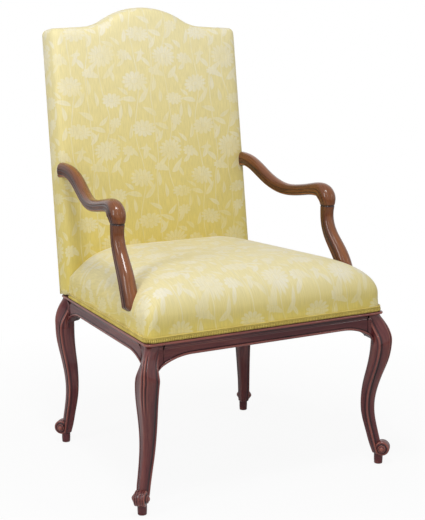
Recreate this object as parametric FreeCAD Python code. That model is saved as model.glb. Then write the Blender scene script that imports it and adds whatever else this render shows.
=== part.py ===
# Fauteuil: an upholstered open armchair with a moulded show-wood frame.
# Front is -Y, the sitter's left is +X, +Z is up. Millimetres.
# The origin is on the floor, under the middle of the chair's bounding box.
import FreeCAD, Part
from FreeCAD import Vector, Matrix, Placement, Rotation
import math
import os

os.makedirs("parts", exist_ok=True)

# Seat frame, measured on the outermost line of its top bead
FRONT_Y = -317.0
FRAME_DEPTH = 561.0
REAR_Y = FRONT_Y + FRAME_DEPTH
FRONT_WIDTH = 634.0
REAR_WIDTH = 530.0
RAIL_TOP = 380.0
RAIL_BOTTOM = 344.5
REBATE_TOP = 415.0
FRIEZE_INSET = 8.0
REBATE_INSET = 12.0
RAIL_THICKNESS = 22.0
BEAD = 6.5
BEAD_STEPS = 4
COVE = 5.0
CORNER_RADIUS = 14.0
HEAD_LENGTH = 46.0

# Curved underside where a rail runs down into a leg
UNDERSIDE_RUN = 71.0
UNDERSIDE_DROP = 17.5
BRACKET_RADIUS = 36.0
BRACKET_FOOT = 295.0

# Cabriole legs
LEG_SPLAY_FRONT = 15.5
LEG_SPLAY_REAR = 10.0
LEG_SPLAY_RUN = 240.0
LEG_BOW_REAR = 7.0
LEG_DRAW_REAR = 0.72
LEG_DRAW_LINE = -12.0
LEG_KNEE_Z = 300.0
LEG_CORNER_STEPS = 2
LEG_STEPS = 2
SCROLL_RADIUS = 19.0
SCROLL_WIDTH = 23.0
SCROLL_HEIGHT = 40.0
SCROLL_OUT = -1.5
RING_RADIUS = 9.5
BUTTON_RADIUS = 6.5
BUTTON_PROUD = 7.0
PEG_RADIUS = 10.5
PEG_HEIGHT = 34.0
PEG_OUT = -10.5

# Joints
FIT = 0.15
SEAT_GAP = 0.3
DECK = 5.0
TENON_THICKNESS = 9.0
TENON_LENGTH = 15.0
TENON_HEIGHT = 44.0
TENON_BASE = 353.0

# Raked back
BACK_HALF = 264.0
BACK_FOOT = 382.0
BACK_SET_IN = 1.0
BACK_REAR_Y = REAR_Y - BACK_SET_IN
BACK_REAR_LEVEL = 390.0
BACK_THICKNESS = 56.0
BACK_RAKE = 7.6
BACK_CORNER_Z = 1032.0
BACK_PEAK_Z = 1084.0
HUMP_HALF = 172.0
HUMP_RADIUS = 205.0
BACK_CORNER_RADIUS = 15.0
BACK_CROWN = 5.0
CROWN_SHARES = (0.70, 0.35)
BACK_CURVE_STEPS = 5
BACK_EDGE_RADIUS = 12.0
COVER = 2.0
STILE_WIDTH = 34.0
BACK_FRAME_DEPTH = 30.0
CREST_DEPTH = 95.0
BACK_RAIL_LOW = 60.0
BACK_RAIL_HEIGHT = 55.0
WEB_THICKNESS = 1.4
WEB_WIDTH = 50.0
STRAP_SHARES = (0.16, 0.383, 0.535, 0.686, 0.838)
CANVAS = 0.9

# Upholstered seat
SEAT_INSET = 3.5
SEAT_BORDER_TOP = 422.0
SEAT_CROWN = 84.0
SEAT_CORNER_RADIUS = 20.0
SEAT_REACH = 205.0
SEAT_ROLL = 2.3
SEAT_STEPS = 8
SEAT_CORNER_STEPS = 5
SEAT_PEAK_RUN = 170.0
GIMP_HEIGHT = 13.0
GIMP_THICKNESS = 3.0

# Arms and arm supports
ARM_STEPS = 2
ARM_Z = 692.0
ARM_GAP = 0.6
ARM_JOINT_Z = 609.0
ARM_TENON_RADIUS = 7.0
ARM_TENON_DEPTH = 24.0
DOWEL_RADIUS = 5.0
DOWEL_LENGTH = 34.0
SUPPORT_TENON_WIDTH = 12.0
SUPPORT_TENON_LENGTH = 24.0
SUPPORT_TENON_DEPTH = 18.0

# Corner blocks and screws
BLOCK_LEG = 100.0
BLOCK_BASE = 352.0
BLOCK_HEIGHT = 26.0
SCREW_RADIUS = 2.2
SCREW_LENGTH = 36.0
SCREW_BITE = 19.0
SCREW_HEAD_RADIUS = 4.2
SCREW_HEAD = 3.0

# Dust cover
DUST_THICKNESS = 0.8

RAKE = math.radians(BACK_RAKE)
OUT45 = math.sqrt(0.5)


def save(name, shape):
    """Write one sub-part."""
    if isinstance(shape, list):
        shape = Part.makeCompound(shape)
    shape.exportStep("parts/" + name + ".step")
    print(name, len(shape.Solids), shape.isValid(), round(shape.Volume / 1000.0, 1), "cm3")


def left_of(shape):
    """The same piece on the other side of the chair."""
    return shape.mirror(Vector(0, 0, 0), Vector(1, 0, 0))


def solid_of(shape):
    """The single clean solid of a boolean result."""
    shape = shape.removeSplitter()
    if len(shape.Solids) == 1:
        return shape.Solids[0]
    return shape


# Plan of the seat frame, right side: corner, rail directions, inward normals
class Corner:
    def __init__(self, point, along_a, in_a, along_b, in_b):
        self.p = point
        self.a = along_a
        self.na = in_a
        self.b = along_b
        self.nb = in_b

    def on_a(self, run, inset, z=0.0):
        v = self.p + self.a * run + self.na * inset
        return Vector(v.x, v.y, z)

    def on_b(self, run, inset, z=0.0):
        v = self.p + self.b * run + self.nb * inset
        return Vector(v.x, v.y, z)

    def inner(self, inset, z=0.0):
        """Where the lines inset from both rails cross."""
        cross = self.a.x * self.b.y - self.a.y * self.b.x
        d = (self.nb - self.na) * inset
        run = (d.x * self.b.y - d.y * self.b.x) / cross
        return self.on_a(run, inset, z)


front_corner = Vector(FRONT_WIDTH / 2, FRONT_Y, 0)
rear_corner = Vector(REAR_WIDTH / 2, REAR_Y, 0)
side_vector = rear_corner - front_corner
SIDE_LENGTH = side_vector.Length
side_dir = side_vector * (1.0 / SIDE_LENGTH)
side_in = Vector(-side_dir.y, side_dir.x, 0)
to_middle = Vector(-1, 0, 0)
FRONT = Corner(front_corner, to_middle, Vector(0, 1, 0), side_dir, side_in)
REAR = Corner(rear_corner, to_middle, Vector(0, -1, 0), side_dir * -1, side_in)


def side_half(y, inset):
    """Half width of the frame at y, on the line inset from its side bead."""
    share = (y - FRONT_Y) / FRAME_DEPTH
    bead = FRONT_WIDTH / 2 + (REAR_WIDTH - FRONT_WIDTH) / 2 * share
    return bead - inset / side_dir.y


def rail_section(inner, low):
    """Moulded section of a rail as (inset, z) edges: bead, cove and frieze."""
    r = BEAD / 2
    pts = [(inner, low), (inner, REBATE_TOP), (REBATE_INSET, REBATE_TOP), (REBATE_INSET, RAIL_TOP), (r, RAIL_TOP)]
    bead_end = (r, RAIL_TOP - BEAD)
    cove_end = (FRIEZE_INSET, RAIL_TOP - BEAD - COVE)
    return pts, (0.0, RAIL_TOP - r), bead_end, (FRIEZE_INSET - 1.2, RAIL_TOP - BEAD - 1.5), cove_end, (FRIEZE_INSET, low)


def section_face(place, inner, low, stepped):
    """Face of the rail section, where place maps (inset, z) into the chair."""
    pts, bead_mid, bead_end, cove_mid, cove_end, foot = rail_section(inner, low)
    r = BEAD / 2
    if inner <= REBATE_INSET:
        pts = [(inner, low), (inner, RAIL_TOP), (r, RAIL_TOP)]
    if stepped:
        turns = [math.pi / 2 + math.pi * k / BEAD_STEPS for k in range(1, BEAD_STEPS)]
        pts = pts + [(r + r * math.cos(a), RAIL_TOP - r + r * math.sin(a)) for a in turns]
        pts = pts + [bead_end, cove_mid, cove_end, foot]
        p = [place(*q) for q in pts]
        return Part.Face(Part.makePolygon(p + [p[0]]))
    p = [place(*q) for q in pts]
    edges = [Part.makeLine(p[i], p[i + 1]) for i in range(len(p) - 1)]
    edges.append(Part.Arc(p[-1], place(*bead_mid), place(*bead_end)).toShape())
    edges.append(Part.Arc(place(*bead_end), place(*cove_mid), place(*cove_end)).toShape())
    edges.append(Part.makeLine(place(*cove_end), place(*foot)))
    edges.append(Part.makeLine(place(*foot), p[0]))
    return Part.Face(Part.Wire(edges))


def rail_run(start, along, inward, length, inner, low, stepped=False):
    """Straight rail stock from start, for length, with the moulded section."""
    def place(i, z):
        v = start + inward * i
        return Vector(v.x, v.y, z)
    return section_face(place, inner, low, stepped).extrude(along * length)


def underside_cutter(start, along, inward, length, reach):
    """Cuts the curved underside of a rail whose bead line starts at start."""
    joint = HEAD_LENGTH
    low = RAIL_BOTTOM - UNDERSIDE_DROP
    run = UNDERSIDE_RUN
    radius = (run * run + UNDERSIDE_DROP * UNDERSIDE_DROP) / (2 * UNDERSIDE_DROP)
    half = run / 2
    dip = radius - math.sqrt(radius * radius - half * half)

    def at(s, z):
        v = start + along * s - inward * 10
        return Vector(v.x, v.y, z)
    a, b, c, d = joint, joint + run, length - joint - run, length - joint
    top = RAIL_BOTTOM
    edges = [Part.makeLine(at(a - 5, low - 40), at(a - 5, low)), Part.makeLine(at(a - 5, low), at(a, low))]
    edges.append(Part.Arc(at(a, low), at(b - half, top - dip), at(b, top)).toShape())
    edges.append(Part.makeLine(at(b, top), at(c, top)))
    edges.append(Part.Arc(at(c, top), at(c + half, top - dip), at(d, low)).toShape())
    edges += [Part.makeLine(at(d, low), at(d + 5, low)), Part.makeLine(at(d + 5, low), at(d + 5, low - 40))]
    edges.append(Part.makeLine(at(d + 5, low - 40), at(a - 5, low - 40)))
    return Part.Face(Part.Wire(edges)).extrude(inward * reach)


def tenon(start, along, inward, grow):
    """Tenon on a rail's end, pointing back into the leg head."""
    run = HEAD_LENGTH - TENON_LENGTH
    side = REBATE_INSET + (RAIL_THICKNESS - TENON_THICKNESS) / 2
    p = [start + along * s + inward * i for s, i in (
        (run - grow, side - grow), (HEAD_LENGTH + 1, side - grow),
        (HEAD_LENGTH + 1, side + TENON_THICKNESS + grow), (run - grow, side + TENON_THICKNESS + grow))]
    z = TENON_BASE - grow
    wire = Part.makePolygon([Vector(q.x, q.y, z) for q in p + [p[0]]])
    return Part.Face(wire).extrude(Vector(0, 0, TENON_HEIGHT + 2 * grow))


def make_rail(start, along, inward, length):
    """One seat rail between two leg heads, with a tenon at each end."""
    low = RAIL_BOTTOM - UNDERSIDE_DROP
    inner = REBATE_INSET + RAIL_THICKNESS
    body = rail_run(start + along * HEAD_LENGTH, along, inward, length - 2 * HEAD_LENGTH, inner, low)
    body = body.cut(underside_cutter(start, along, inward, length, inner + 30))
    end = start + along * length
    return solid_of(body.fuse([tenon(start, along, inward, 0), tenon(end, along * -1, inward, 0)]))


def bracket_cutter(c, along, inward):
    """Rounds the underside of a leg head from the rail joint down to the leg."""
    low = RAIL_BOTTOM - UNDERSIDE_DROP
    radius = (UNDERSIDE_RUN ** 2 + UNDERSIDE_DROP ** 2) / (2 * UNDERSIDE_DROP)
    turn = math.asin(UNDERSIDE_RUN / radius)
    r = BRACKET_RADIUS
    foot_s = HEAD_LENGTH - r * (1 - math.sin(turn))
    foot_z = low - r * math.cos(turn)
    mid = (turn + math.pi / 2) / 2
    mid_s = HEAD_LENGTH - r * (math.sin(mid) - math.sin(turn))
    mid_z = low - r * (math.cos(turn) - math.cos(mid))

    def at(s, z):
        v = c.p + along * s - inward * 30
        return Vector(v.x, v.y, z)
    p = [at(HEAD_LENGTH, low), at(mid_s, mid_z), at(foot_s, foot_z)]
    edges = [Part.Arc(p[0], p[1], p[2]).toShape()]
    corners = [p[2], at(foot_s, foot_z - 20), at(HEAD_LENGTH + 30, foot_z - 20), at(HEAD_LENGTH + 30, low), p[0]]
    edges += [Part.makeLine(corners[i], corners[i + 1]) for i in range(4)]
    return Part.Face(Part.Wire(edges)).extrude(inward * 130)


def leg_head(c):
    """Block at the top of a leg: rail mouldings returned round the corner."""
    base = BRACKET_FOOT
    height = REBATE_TOP - base
    edge = CORNER_RADIUS
    thick = REBATE_INSET + RAIL_THICKNESS
    hub = c.inner(edge)
    run_a = (hub - c.p).dot(c.a)
    run_b = (hub - c.p).dot(c.b)
    core = [hub, c.on_a(HEAD_LENGTH, edge), c.on_a(HEAD_LENGTH, thick), c.inner(HEAD_LENGTH)]
    core += [c.on_b(HEAD_LENGTH, thick), c.on_b(HEAD_LENGTH, edge), hub]
    core = [Vector(v.x, v.y, base) for v in core]
    parts = [Part.Face(Part.makePolygon(core)).extrude(Vector(0, 0, height))]
    parts.append(rail_run(c.p + c.a * run_a, c.a, c.na, HEAD_LENGTH - run_a, edge, base, True))
    parts.append(rail_run(c.p + c.b * run_b, c.b, c.nb, HEAD_LENGTH - run_b, edge, base, True))

    def place(i, z):
        v = hub - c.na * (edge - i)
        return Vector(v.x, v.y, z)
    face = section_face(place, edge, base, True)
    turn = math.degrees(c.na.getAngle(c.nb))
    cross = c.na.x * c.nb.y - c.na.y * c.nb.x
    parts.append(face.revolve(hub, Vector(0, 0, 1 if cross > 0 else -1), turn))
    head = parts[0].fuse(parts[1:])
    head = head.cut([bracket_cutter(c, c.a, c.na), bracket_cutter(c, c.b, c.nb)])
    return head.cut([tenon(c.p, c.a, c.na, FIT), tenon(c.p, c.b, c.nb, FIT)])


def skin(rings):
    """Closed solid over rings of points, in flat facets."""
    faces = [Part.Face(Part.makePolygon(r + [r[0]])) for r in (rings[0], rings[-1])]
    count = len(rings[0])
    for low, high in zip(rings[:-1], rings[1:]):
        for k in range(count):
            n = (k + 1) % count
            a, b, c, d = low[k], low[n], high[n], high[k]
            normal = (b - a).cross(d - a)
            if abs((c - a).dot(normal)) < 1e-6 * normal.Length:
                faces.append(Part.Face(Part.makePolygon([a, b, c, d, a])))
            else:
                faces.append(Part.Face(Part.makePolygon([a, b, c, a])))
                faces.append(Part.Face(Part.makePolygon([a, c, d, a])))
    shell = Part.makeShell(faces)
    shell.sewShape()
    body = Part.makeSolid(shell)
    if body.Volume < 0:
        body.reverse()
    return body


def smooth(places, sizes, steps):
    """Places and sizes on smooth curves through the given ones, with steps between each two."""
    knots = [0.0]
    for a, b in zip(places[:-1], places[1:]):
        knots.append(knots[-1] + (b - a).Length)
    path, size = Part.BSplineCurve(), Part.BSplineCurve()
    path.interpolate(Points=places, Parameters=knots)
    size.interpolate(Points=sizes, Parameters=knots)
    at = [a + (b - a) * k / steps for a, b in zip(knots[:-1], knots[1:]) for k in range(steps)] + [knots[-1]]
    return [(path.value(t), size.value(t)) for t in at]


# Cabriole leg: height, centre out along the diagonal, side, outer and inner rounding
LEG_PROFILE = [
    (373.0, -17.5, 9.0, 2.6, 2.0), (350.0, -13.0, 26.0, 7.5, 6.0), (327.0, -10.2, 39.5, 12.0, 10.0),
    (304.0, -8.8, 41.6, 13.0, 11.0), (272.0, -12.6, 39.8, 12.0, 10.0), (238.0, -21.0, 36.6, 11.0, 9.5),
    (202.0, -31.2, 33.0, 10.0, 8.5), (164.0, -37.8, 29.6, 9.5, 8.0), (124.0, -37.0, 27.0, 8.0, 6.0),
    (84.0, -28.4, 25.0, 7.0, 5.5), (52.0, -20.2, 24.0, 7.0, 5.5), (26.0, -12.5, 21.0, 6.5, 5.0)]


def corner_points(cx, cy, r, start, steps):
    """Quarter turn about a centre, clockwise from start degrees, as points."""
    turns = [math.radians(start) - math.pi / 2 * i / steps for i in range(steps + 1)]
    return [(cx + r * math.cos(a), cy + r * math.sin(a)) for a in turns]


def leg_section(z, out, side, outer_r, inner_r, splay, sy):
    """Square section with a bead and a groove at each side corner."""
    drop = max(0.0, LEG_KNEE_Z - z)
    drift = splay * min(1.0, drop / LEG_SPLAY_RUN) ** 0.8
    if sy < 0:
        drift += LEG_BOW_REAR * math.sin(math.pi * min(1.0, drop / (LEG_KNEE_Z - SCROLL_RADIUS)))
        out = LEG_DRAW_LINE + (out - LEG_DRAW_LINE) * LEG_DRAW_REAR
    cx = (out + drift) * OUT45
    cy = (out - drift) * OUT45 * -1
    h = side / 2
    k = min(1.0, side / 24.0)
    bead = [(-h + 8.5 * k, -h), (-h + 6.7 * k, -h + 1.5 * k), (-h + 0.8 * k, -h + 1.2 * k), (-h, -h + 7.2 * k)]
    outline = corner_points(h - outer_r, -h + outer_r, outer_r, 0, LEG_CORNER_STEPS)
    outline += bead
    outline.append((-h + inner_r * 0.3, h - inner_r * 0.3))
    outline += [(-y, -x) for x, y in reversed(bead)]
    return [Vector(cx + x, (cy + y) * sy, z) for x, y in outline]


def scroll_foot(splay, sy):
    """Volute roll with a button at each end, and the peg below it."""
    cx, cy = (SCROLL_OUT + splay) * OUT45, (splay - SCROLL_OUT) * OUT45
    w = SCROLL_WIDTH / 2
    r = SCROLL_RADIUS
    tip = w + BUTTON_PROUD
    half = [(0, tip), (BUTTON_RADIUS, tip), (RING_RADIUS, w), (r, w)]
    profile = [Vector(a, 0, b) for a, b in half] + [Vector(a, 0, -b) for a, b in reversed(half)]
    wire = Part.makePolygon(profile + [profile[0]])
    roll = Part.Face(wire).revolve(Vector(0, 0, 0), Vector(0, 0, 1), 360)
    roll.Placement = Placement(Vector(cx, cy, SCROLL_HEIGHT), Rotation(Vector(0, 0, 1), Vector(1, 1, 0)))
    px, py = (PEG_OUT + splay) * OUT45, (splay - PEG_OUT) * OUT45
    peg = Part.makeCylinder(PEG_RADIUS, PEG_HEIGHT, Vector(px, py, 0), Vector(0, 0, 1))
    foot = roll.fuse(peg)
    if sy < 0:
        foot = foot.mirror(Vector(0, 0, 0), Vector(0, 1, 0))
    return foot


def make_leg(c, splay, sy):
    """Cabriole leg with its head, knee, scroll foot and peg."""
    places = [Vector(out, 0, z) for z, out, side, outer_r, inner_r in LEG_PROFILE]
    sizes = [Vector(side, outer_r, inner_r) for z, out, side, outer_r, inner_r in LEG_PROFILE]
    shaft = skin([leg_section(p.z, p.x, *q, splay, sy) for p, q in smooth(places, sizes, LEG_STEPS)])
    body = shaft.fuse(scroll_foot(splay, sy))
    body.translate(c.p)
    return body.fuse(leg_head(c))


# Back: u is across, v is up the raked plane, w is depth behind its front plane
BACK_UP = Vector(0, math.sin(RAKE), math.cos(RAKE))
BACK_IN = Vector(0, math.cos(RAKE), -math.sin(RAKE))
BACK_ORIGIN = Vector(0, BACK_REAR_Y, BACK_REAR_LEVEL) - BACK_IN * BACK_THICKNESS


def back_v(z):
    """Distance up the middle of the back for a height above the floor."""
    middle = BACK_REAR_LEVEL + BACK_THICKNESS / 2 * math.sin(RAKE)
    return (z - middle) / math.cos(RAKE)


def back_point(u, v, w):
    return BACK_ORIGIN + Vector(u, 0, 0) + BACK_UP * v + BACK_IN * w


def back_outline(w, inset, share, foot):
    """Camel-topped outline of the back at depth w, drawn in by inset and scaled by share."""
    vc = back_v(BACK_CORNER_Z) + 4.0
    vp = back_v(BACK_PEAK_Z)
    rise = vp - vc
    total = (rise * rise + HUMP_HALF * HUMP_HALF) / (2 * rise)
    r1 = HUMP_RADIUS - inset
    r2 = total - HUMP_RADIUS + inset
    half = BACK_HALF - inset
    top = vc - inset
    rc = max(BACK_CORNER_RADIUS - inset, 4.0)
    c1 = vp - HUMP_RADIUS
    c2 = vc + total - HUMP_RADIUS
    lean = math.asin(HUMP_HALF / total)
    middle = (foot + vp) / 2
    slope = 4.0
    half_line = [(half, foot)]
    for k in range(4):
        a = math.pi / 6 * k
        half_line.append((half - rc + rc * math.cos(a), top - slope - rc + rc * math.sin(a)))
    for k in range(BACK_CURVE_STEPS + 1):
        a = lean * k / BACK_CURVE_STEPS
        half_line.append((HUMP_HALF - r2 * math.sin(a), c2 - r2 * math.cos(a)))
    for k in range(1, BACK_CURVE_STEPS + 1):
        a = lean * (1 - k / BACK_CURVE_STEPS)
        half_line.append((r1 * math.sin(a), c1 + r1 * math.cos(a)))
    line = half_line + [(-u, v) for u, v in reversed(half_line[:-1])]
    return [back_point(u * share, middle + (v - middle) * share, w) for u, v in line]


def edge_steps(radius, count):
    """Quarter-round of an upholstered edge as (depth, draw-in) pairs."""
    steps = []
    for k in range(count + 1):
        a = math.pi / 2 * k / count
        steps.append((radius * (1 - math.sin(a)), radius * (1 - math.cos(a))))
    return steps


def back_form(start, grow_in, foot):
    """Upholstered back from depth start forward to its rounded, crowned front."""
    g = grow_in
    edge = BACK_EDGE_RADIUS
    rings = [back_outline(start, g, 1.0, foot)]
    for depth, draw in edge_steps(edge, 3):
        rings.append(back_outline(depth + g, draw + g, 1.0, foot))
    for share in CROWN_SHARES:
        lift = BACK_CROWN * (1 - share ** 2) / (1 - CROWN_SHARES[-1] ** 2)
        rings.append(back_outline(g - lift, edge + g, share, foot))
    return skin(rings)


def board(u0, v0, u1, v1, w0, w1):
    """Straight board in the plane of the back."""
    p = [back_point(u0, v0, w0), back_point(u1, v0, w0), back_point(u1, v1, w0), back_point(u0, v1, w0)]
    return Part.Face(Part.makePolygon(p + [p[0]])).extrude(BACK_IN * (w1 - w0))


FRAME_REAR = BACK_THICKNESS - COVER - SEAT_GAP
FRAME_FRONT = FRAME_REAR - BACK_FRAME_DEPTH
STILE_OUT = BACK_HALF - COVER - SEAT_GAP - 0.5
STILE_IN = STILE_OUT - STILE_WIDTH
CREST_V = back_v(BACK_CORNER_Z) - CREST_DEPTH
V_HEAD = back_v(REBATE_TOP)


def arm_rear():
    """Point on the back's front plane where the arm meets it."""
    v = (ARM_Z - BACK_ORIGIN.z) / math.cos(RAKE)
    return back_point(0, v, 0)


def arm_peg(grow, reach):
    """Round tenon at the rear end of the right arm, with its direction."""
    p = arm_rear()
    start = Vector(ARM_SPINE[0][0], p.y - 6.0, ARM_Z)
    return Part.makeCylinder(ARM_TENON_RADIUS + grow, reach + 6.0, start, Vector(0, 1, 0))


# Arm: half span, y, z, heading below level in degrees, width, height
ARM_SPINE = [
    (259.0, 0.0, 0.0, -BACK_RAKE, 32.0, 38.0), (257.0, -20.0, 0.5, 2.0, 30.0, 34.0), (256.0, -48.0, -4.0, 16.0, 30.0, 32.0),
    (257.0, -84.0, -19.0, 29.0, 30.5, 31.0), (261.0, -123.0, -40.0, 28.0, 30.5, 30.0),
    (267.0, -163.0, -55.0, 14.0, 30.0, 29.0), (272.0, -200.0, -60.0, 1.0, 29.5, 28.5),
    (276.0, -240.0, -57.0, -8.0, 29.5, 28.5), (279.0, -275.0, -51.5, -9.0, 30.0, 29.0),
    (281.0, -303.0, -47.5, -2.0, 32.0, 32.0), (283.0, -329.0, -48.0, 26.0, 36.0, 37.0),
    (284.0, -344.5, -58.5, 60.0, 39.0, 40.0), (284.0, -350.5, -71.0, 82.0, 36.0, 36.0),
    (284.0, -351.0, ARM_JOINT_Z - ARM_Z, 90.0, 31.0, 32.0)]

# Arm support: half span, y from the front bead, z, heading, width, height
SUPPORT_SPINE = [
    (284.0, 192.0, ARM_JOINT_Z, 90.0, 31.0, 32.0), (284.0, 194.0, 590.0, 92.0, 29.0, 29.5), (284.0, 190.5, 567.0, 76.0, 29.5, 30.0),
    (284.5, 179.0, 543.0, 60.0, 31.0, 32.0), (286.5, 161.0, 519.0, 53.0, 33.0, 35.0),
    (289.0, 142.0, 494.0, 58.0, 34.5, 37.0), (290.5, 128.0, 468.0, 66.0, 35.0, 38.0),
    (288.5, 118.0, 442.0, 76.0, 31.0, 37.0), (283.5, 113.0, 415.3, 90.0, 20.0, 34.0)]


def moulded_section(u, y, z, heading, width, height, grow):
    """Rounded section with a bead low on each side and a ridge along the top."""
    a = heading * math.pi / 180.0
    up = Vector(0, -math.sin(a), math.cos(a))
    c = Vector(u, y, z)
    hw = width / 2 + grow
    hh = height / 2 + grow

    def p(s, t):
        return c + Vector(s * hw, 0, 0) + up * (t * hh)
    half = [(0.64, -0.94), (0.98, -0.72), (0.86, -0.36), (0.99, -0.04), (0.86, 0.52), (0.40, 0.93)]
    return [p(x, t) for x, t in half] + [p(-x, t) for x, t in reversed(half)]


def moulded_limb(spine, start, stretch, grow):
    """Moulded limb along its spine from start, with the run from front to back stretched."""
    places = [start + Vector(u, y * stretch, z) for u, y, z, heading, width, height in spine]
    sizes = [Vector(heading, width, height) for u, y, z, heading, width, height in spine]
    return skin([moulded_section(*p, *q, grow) for p, q in smooth(places, sizes, ARM_STEPS)])


def make_arm():
    """Serpentine arm from the back to the knuckle over its support."""
    rear = arm_rear().y - ARM_GAP
    reach = rear - FRONT_Y - SUPPORT_SPINE[0][1]
    return moulded_limb(ARM_SPINE, Vector(0, rear, ARM_Z), -reach / ARM_SPINE[-1][1], 0)


def support_body(grow):
    """Arm support, a concave stump leaning forward from the knuckle to the side rail."""
    return moulded_limb(SUPPORT_SPINE, Vector(0, FRONT_Y, 0), 1.0, grow)


def support_tenon(grow):
    foot = SUPPORT_SPINE[-1]
    w = SUPPORT_TENON_WIDTH / 2 + grow
    d = SUPPORT_TENON_LENGTH / 2 + grow
    z = REBATE_TOP - SUPPORT_TENON_DEPTH - grow
    return Part.makeBox(2 * w, 2 * d, foot[2] + 1 - z, Vector(foot[0] - w, FRONT_Y + foot[1] - d, z))


def seat_outline(z, inset, front_inset, rear_y):
    """Seat plan with rounded front corners, running back to rear_y."""
    yf = FRONT_Y + front_inset
    xf = side_half(yf, inset)
    xr = side_half(rear_y, inset)
    r = SEAT_CORNER_RADIUS + (inset - SEAT_INSET) * 0.22
    lean = math.atan2(xf - xr, rear_y - yf)
    cx = xf - r / math.tan((math.pi / 2 - lean) / 2)
    cy = yf + r
    pts = []
    for k in range(SEAT_CORNER_STEPS + 1):
        a = -math.pi / 2 + (math.pi / 2 + lean) * k / SEAT_CORNER_STEPS
        pts.append((cx + r * math.cos(a), cy + r * math.sin(a)))
    pts.append((xr, rear_y))
    pts = [(-x, y) for x, y in reversed(pts)] + pts
    return [Vector(x, y, z) for x, y in pts]


def seat_form(grow_in, base):
    """Domed seat: upright border, rolled edge and crown rising to the back."""
    g = grow_in
    rear_y = BACK_ORIGIN.y + 30.0
    rings = [seat_outline(base, SEAT_INSET + g, SEAT_INSET + g, rear_y)]
    for k in range(SEAT_STEPS + 1):
        share = k / SEAT_STEPS
        rise = 1 - (1 - share) ** SEAT_ROLL
        i = SEAT_INSET + g + (SEAT_REACH - SEAT_INSET) * share ** 1.7
        back = rear_y - max(0.0, share - 0.7) / 0.3 * SEAT_PEAK_RUN
        rings.append(seat_outline(SEAT_BORDER_TOP + (SEAT_CROWN - g) * rise, i, i, back))
    return skin(rings)


def behind_back(clear):
    """Everything behind the back's front plane, for trimming the seat against it."""
    p = [back_point(-400, -80, -clear), back_point(400, -80, -clear), back_point(400, 760, -clear), back_point(-400, 760, -clear)]
    return Part.Face(Part.makePolygon(p + [p[0]])).extrude(BACK_IN * 300)


def frame_block(base, top, inset):
    """Plan of the seat frame as a block, drawn in from the bead."""
    c = [FRONT.inner(inset, base), REAR.inner(inset, base)]
    p = c + [Vector(-v.x, v.y, v.z) for v in reversed(c)]
    return Part.Face(Part.makePolygon(p + [p[0]])).extrude(Vector(0, 0, top - base))


def gimp_band():
    """Woven band over the cover's lower edge, round the front and both sides."""
    z = RAIL_TOP + SEAT_GAP
    rear_y = BACK_ORIGIN.y + 20.0
    out = SEAT_INSET - GIMP_THICKNESS - SEAT_GAP
    gap = SEAT_INSET - SEAT_GAP
    outer, inner = seat_outline(z, out, out, rear_y), seat_outline(z, gap, gap, rear_y + 10)
    outer = Part.Face(Part.makePolygon(outer + [outer[0]])).extrude(Vector(0, 0, GIMP_HEIGHT))
    inner = Part.Face(Part.makePolygon(inner + [inner[0]])).extrude(Vector(0, 0, GIMP_HEIGHT))
    return outer.cut([inner, behind_back(SEAT_GAP)])


def corner_block(c):
    """Glued and screwed block behind a leg head, bevelled across its inner side."""
    i = REBATE_INSET + RAIL_THICKNESS + SEAT_GAP / 2
    s = HEAD_LENGTH + 2.0
    p = [c.on_a(BLOCK_LEG, i), c.on_a(s, i), c.inner(HEAD_LENGTH + SEAT_GAP), c.on_b(s, i), c.on_b(BLOCK_LEG, i)]
    p = [Vector(v.x, v.y, BLOCK_BASE) for v in p]
    return Part.Face(Part.makePolygon(p + [p[0]])).extrude(Vector(0, 0, BLOCK_HEIGHT))


def block_screw(c, grow):
    """Hexagon-headed coach screw through a corner block, along the diagonal into the leg head."""
    z = BLOCK_BASE + BLOCK_HEIGHT / 2
    face = c.inner(HEAD_LENGTH, z)
    inward = face - c.inner(0.0, z)
    inward.normalize()
    tip = face - inward * (SCREW_BITE + grow)
    neck = face + inward * (SCREW_LENGTH - SCREW_BITE)
    shaft = Part.makeCylinder(SCREW_RADIUS + grow, (neck - tip).Length, tip, inward)
    if grow > 0:
        return solid_of(shaft.fuse(Part.makeCylinder(SCREW_HEAD_RADIUS + grow, BLOCK_LEG, neck, inward)))
    turns = [math.pi / 3 * k for k in range(7)]
    hexagon = Part.makePolygon([Vector(math.cos(a), math.sin(a), 0) * SCREW_HEAD_RADIUS for a in turns])
    head = Part.Face(hexagon).extrude(Vector(0, 0, SCREW_HEAD))
    head.Placement = Placement(neck, Rotation(Vector(0, 0, 1), inward))
    return solid_of(shaft.fuse(head))


def strap(p, q, width, z):
    """Flat webbing strap between two points, level at z."""
    d = q - p
    d = Vector(d.x, d.y, 0)
    d.normalize()
    n = Vector(-d.y, d.x, 0) * (width / 2)
    c = [p + n, q + n, q - n, p - n]
    c = [Vector(v.x, v.y, z) for v in c]
    return Part.Face(Part.makePolygon(c + [c[0]])).extrude(Vector(0, 0, WEB_THICKNESS))


def seat_straps():
    """Jute webbing over the top of the seat frame in two crossing layers."""
    low = REBATE_TOP + FIT
    high = low + WEB_THICKNESS + FIT
    over = REBATE_INSET + 3.0
    straps = []
    for x in (-171.0, -57.0, 57.0, 171.0):
        straps.append(strap(Vector(x, FRONT_Y + over, 0), Vector(x, REAR_Y - over - 30.0, 0), WEB_WIDTH, low))
    for share in STRAP_SHARES:
        y = FRONT_Y + FRAME_DEPTH * share
        x = side_half(y, over) - 6.0
        if share == STRAP_SHARES[0]:
            x = side_half(y, over) - RAIL_THICKNESS
        straps.append(strap(Vector(-x, y, 0), Vector(x, y, 0), WEB_WIDTH, high))
    return straps


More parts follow.
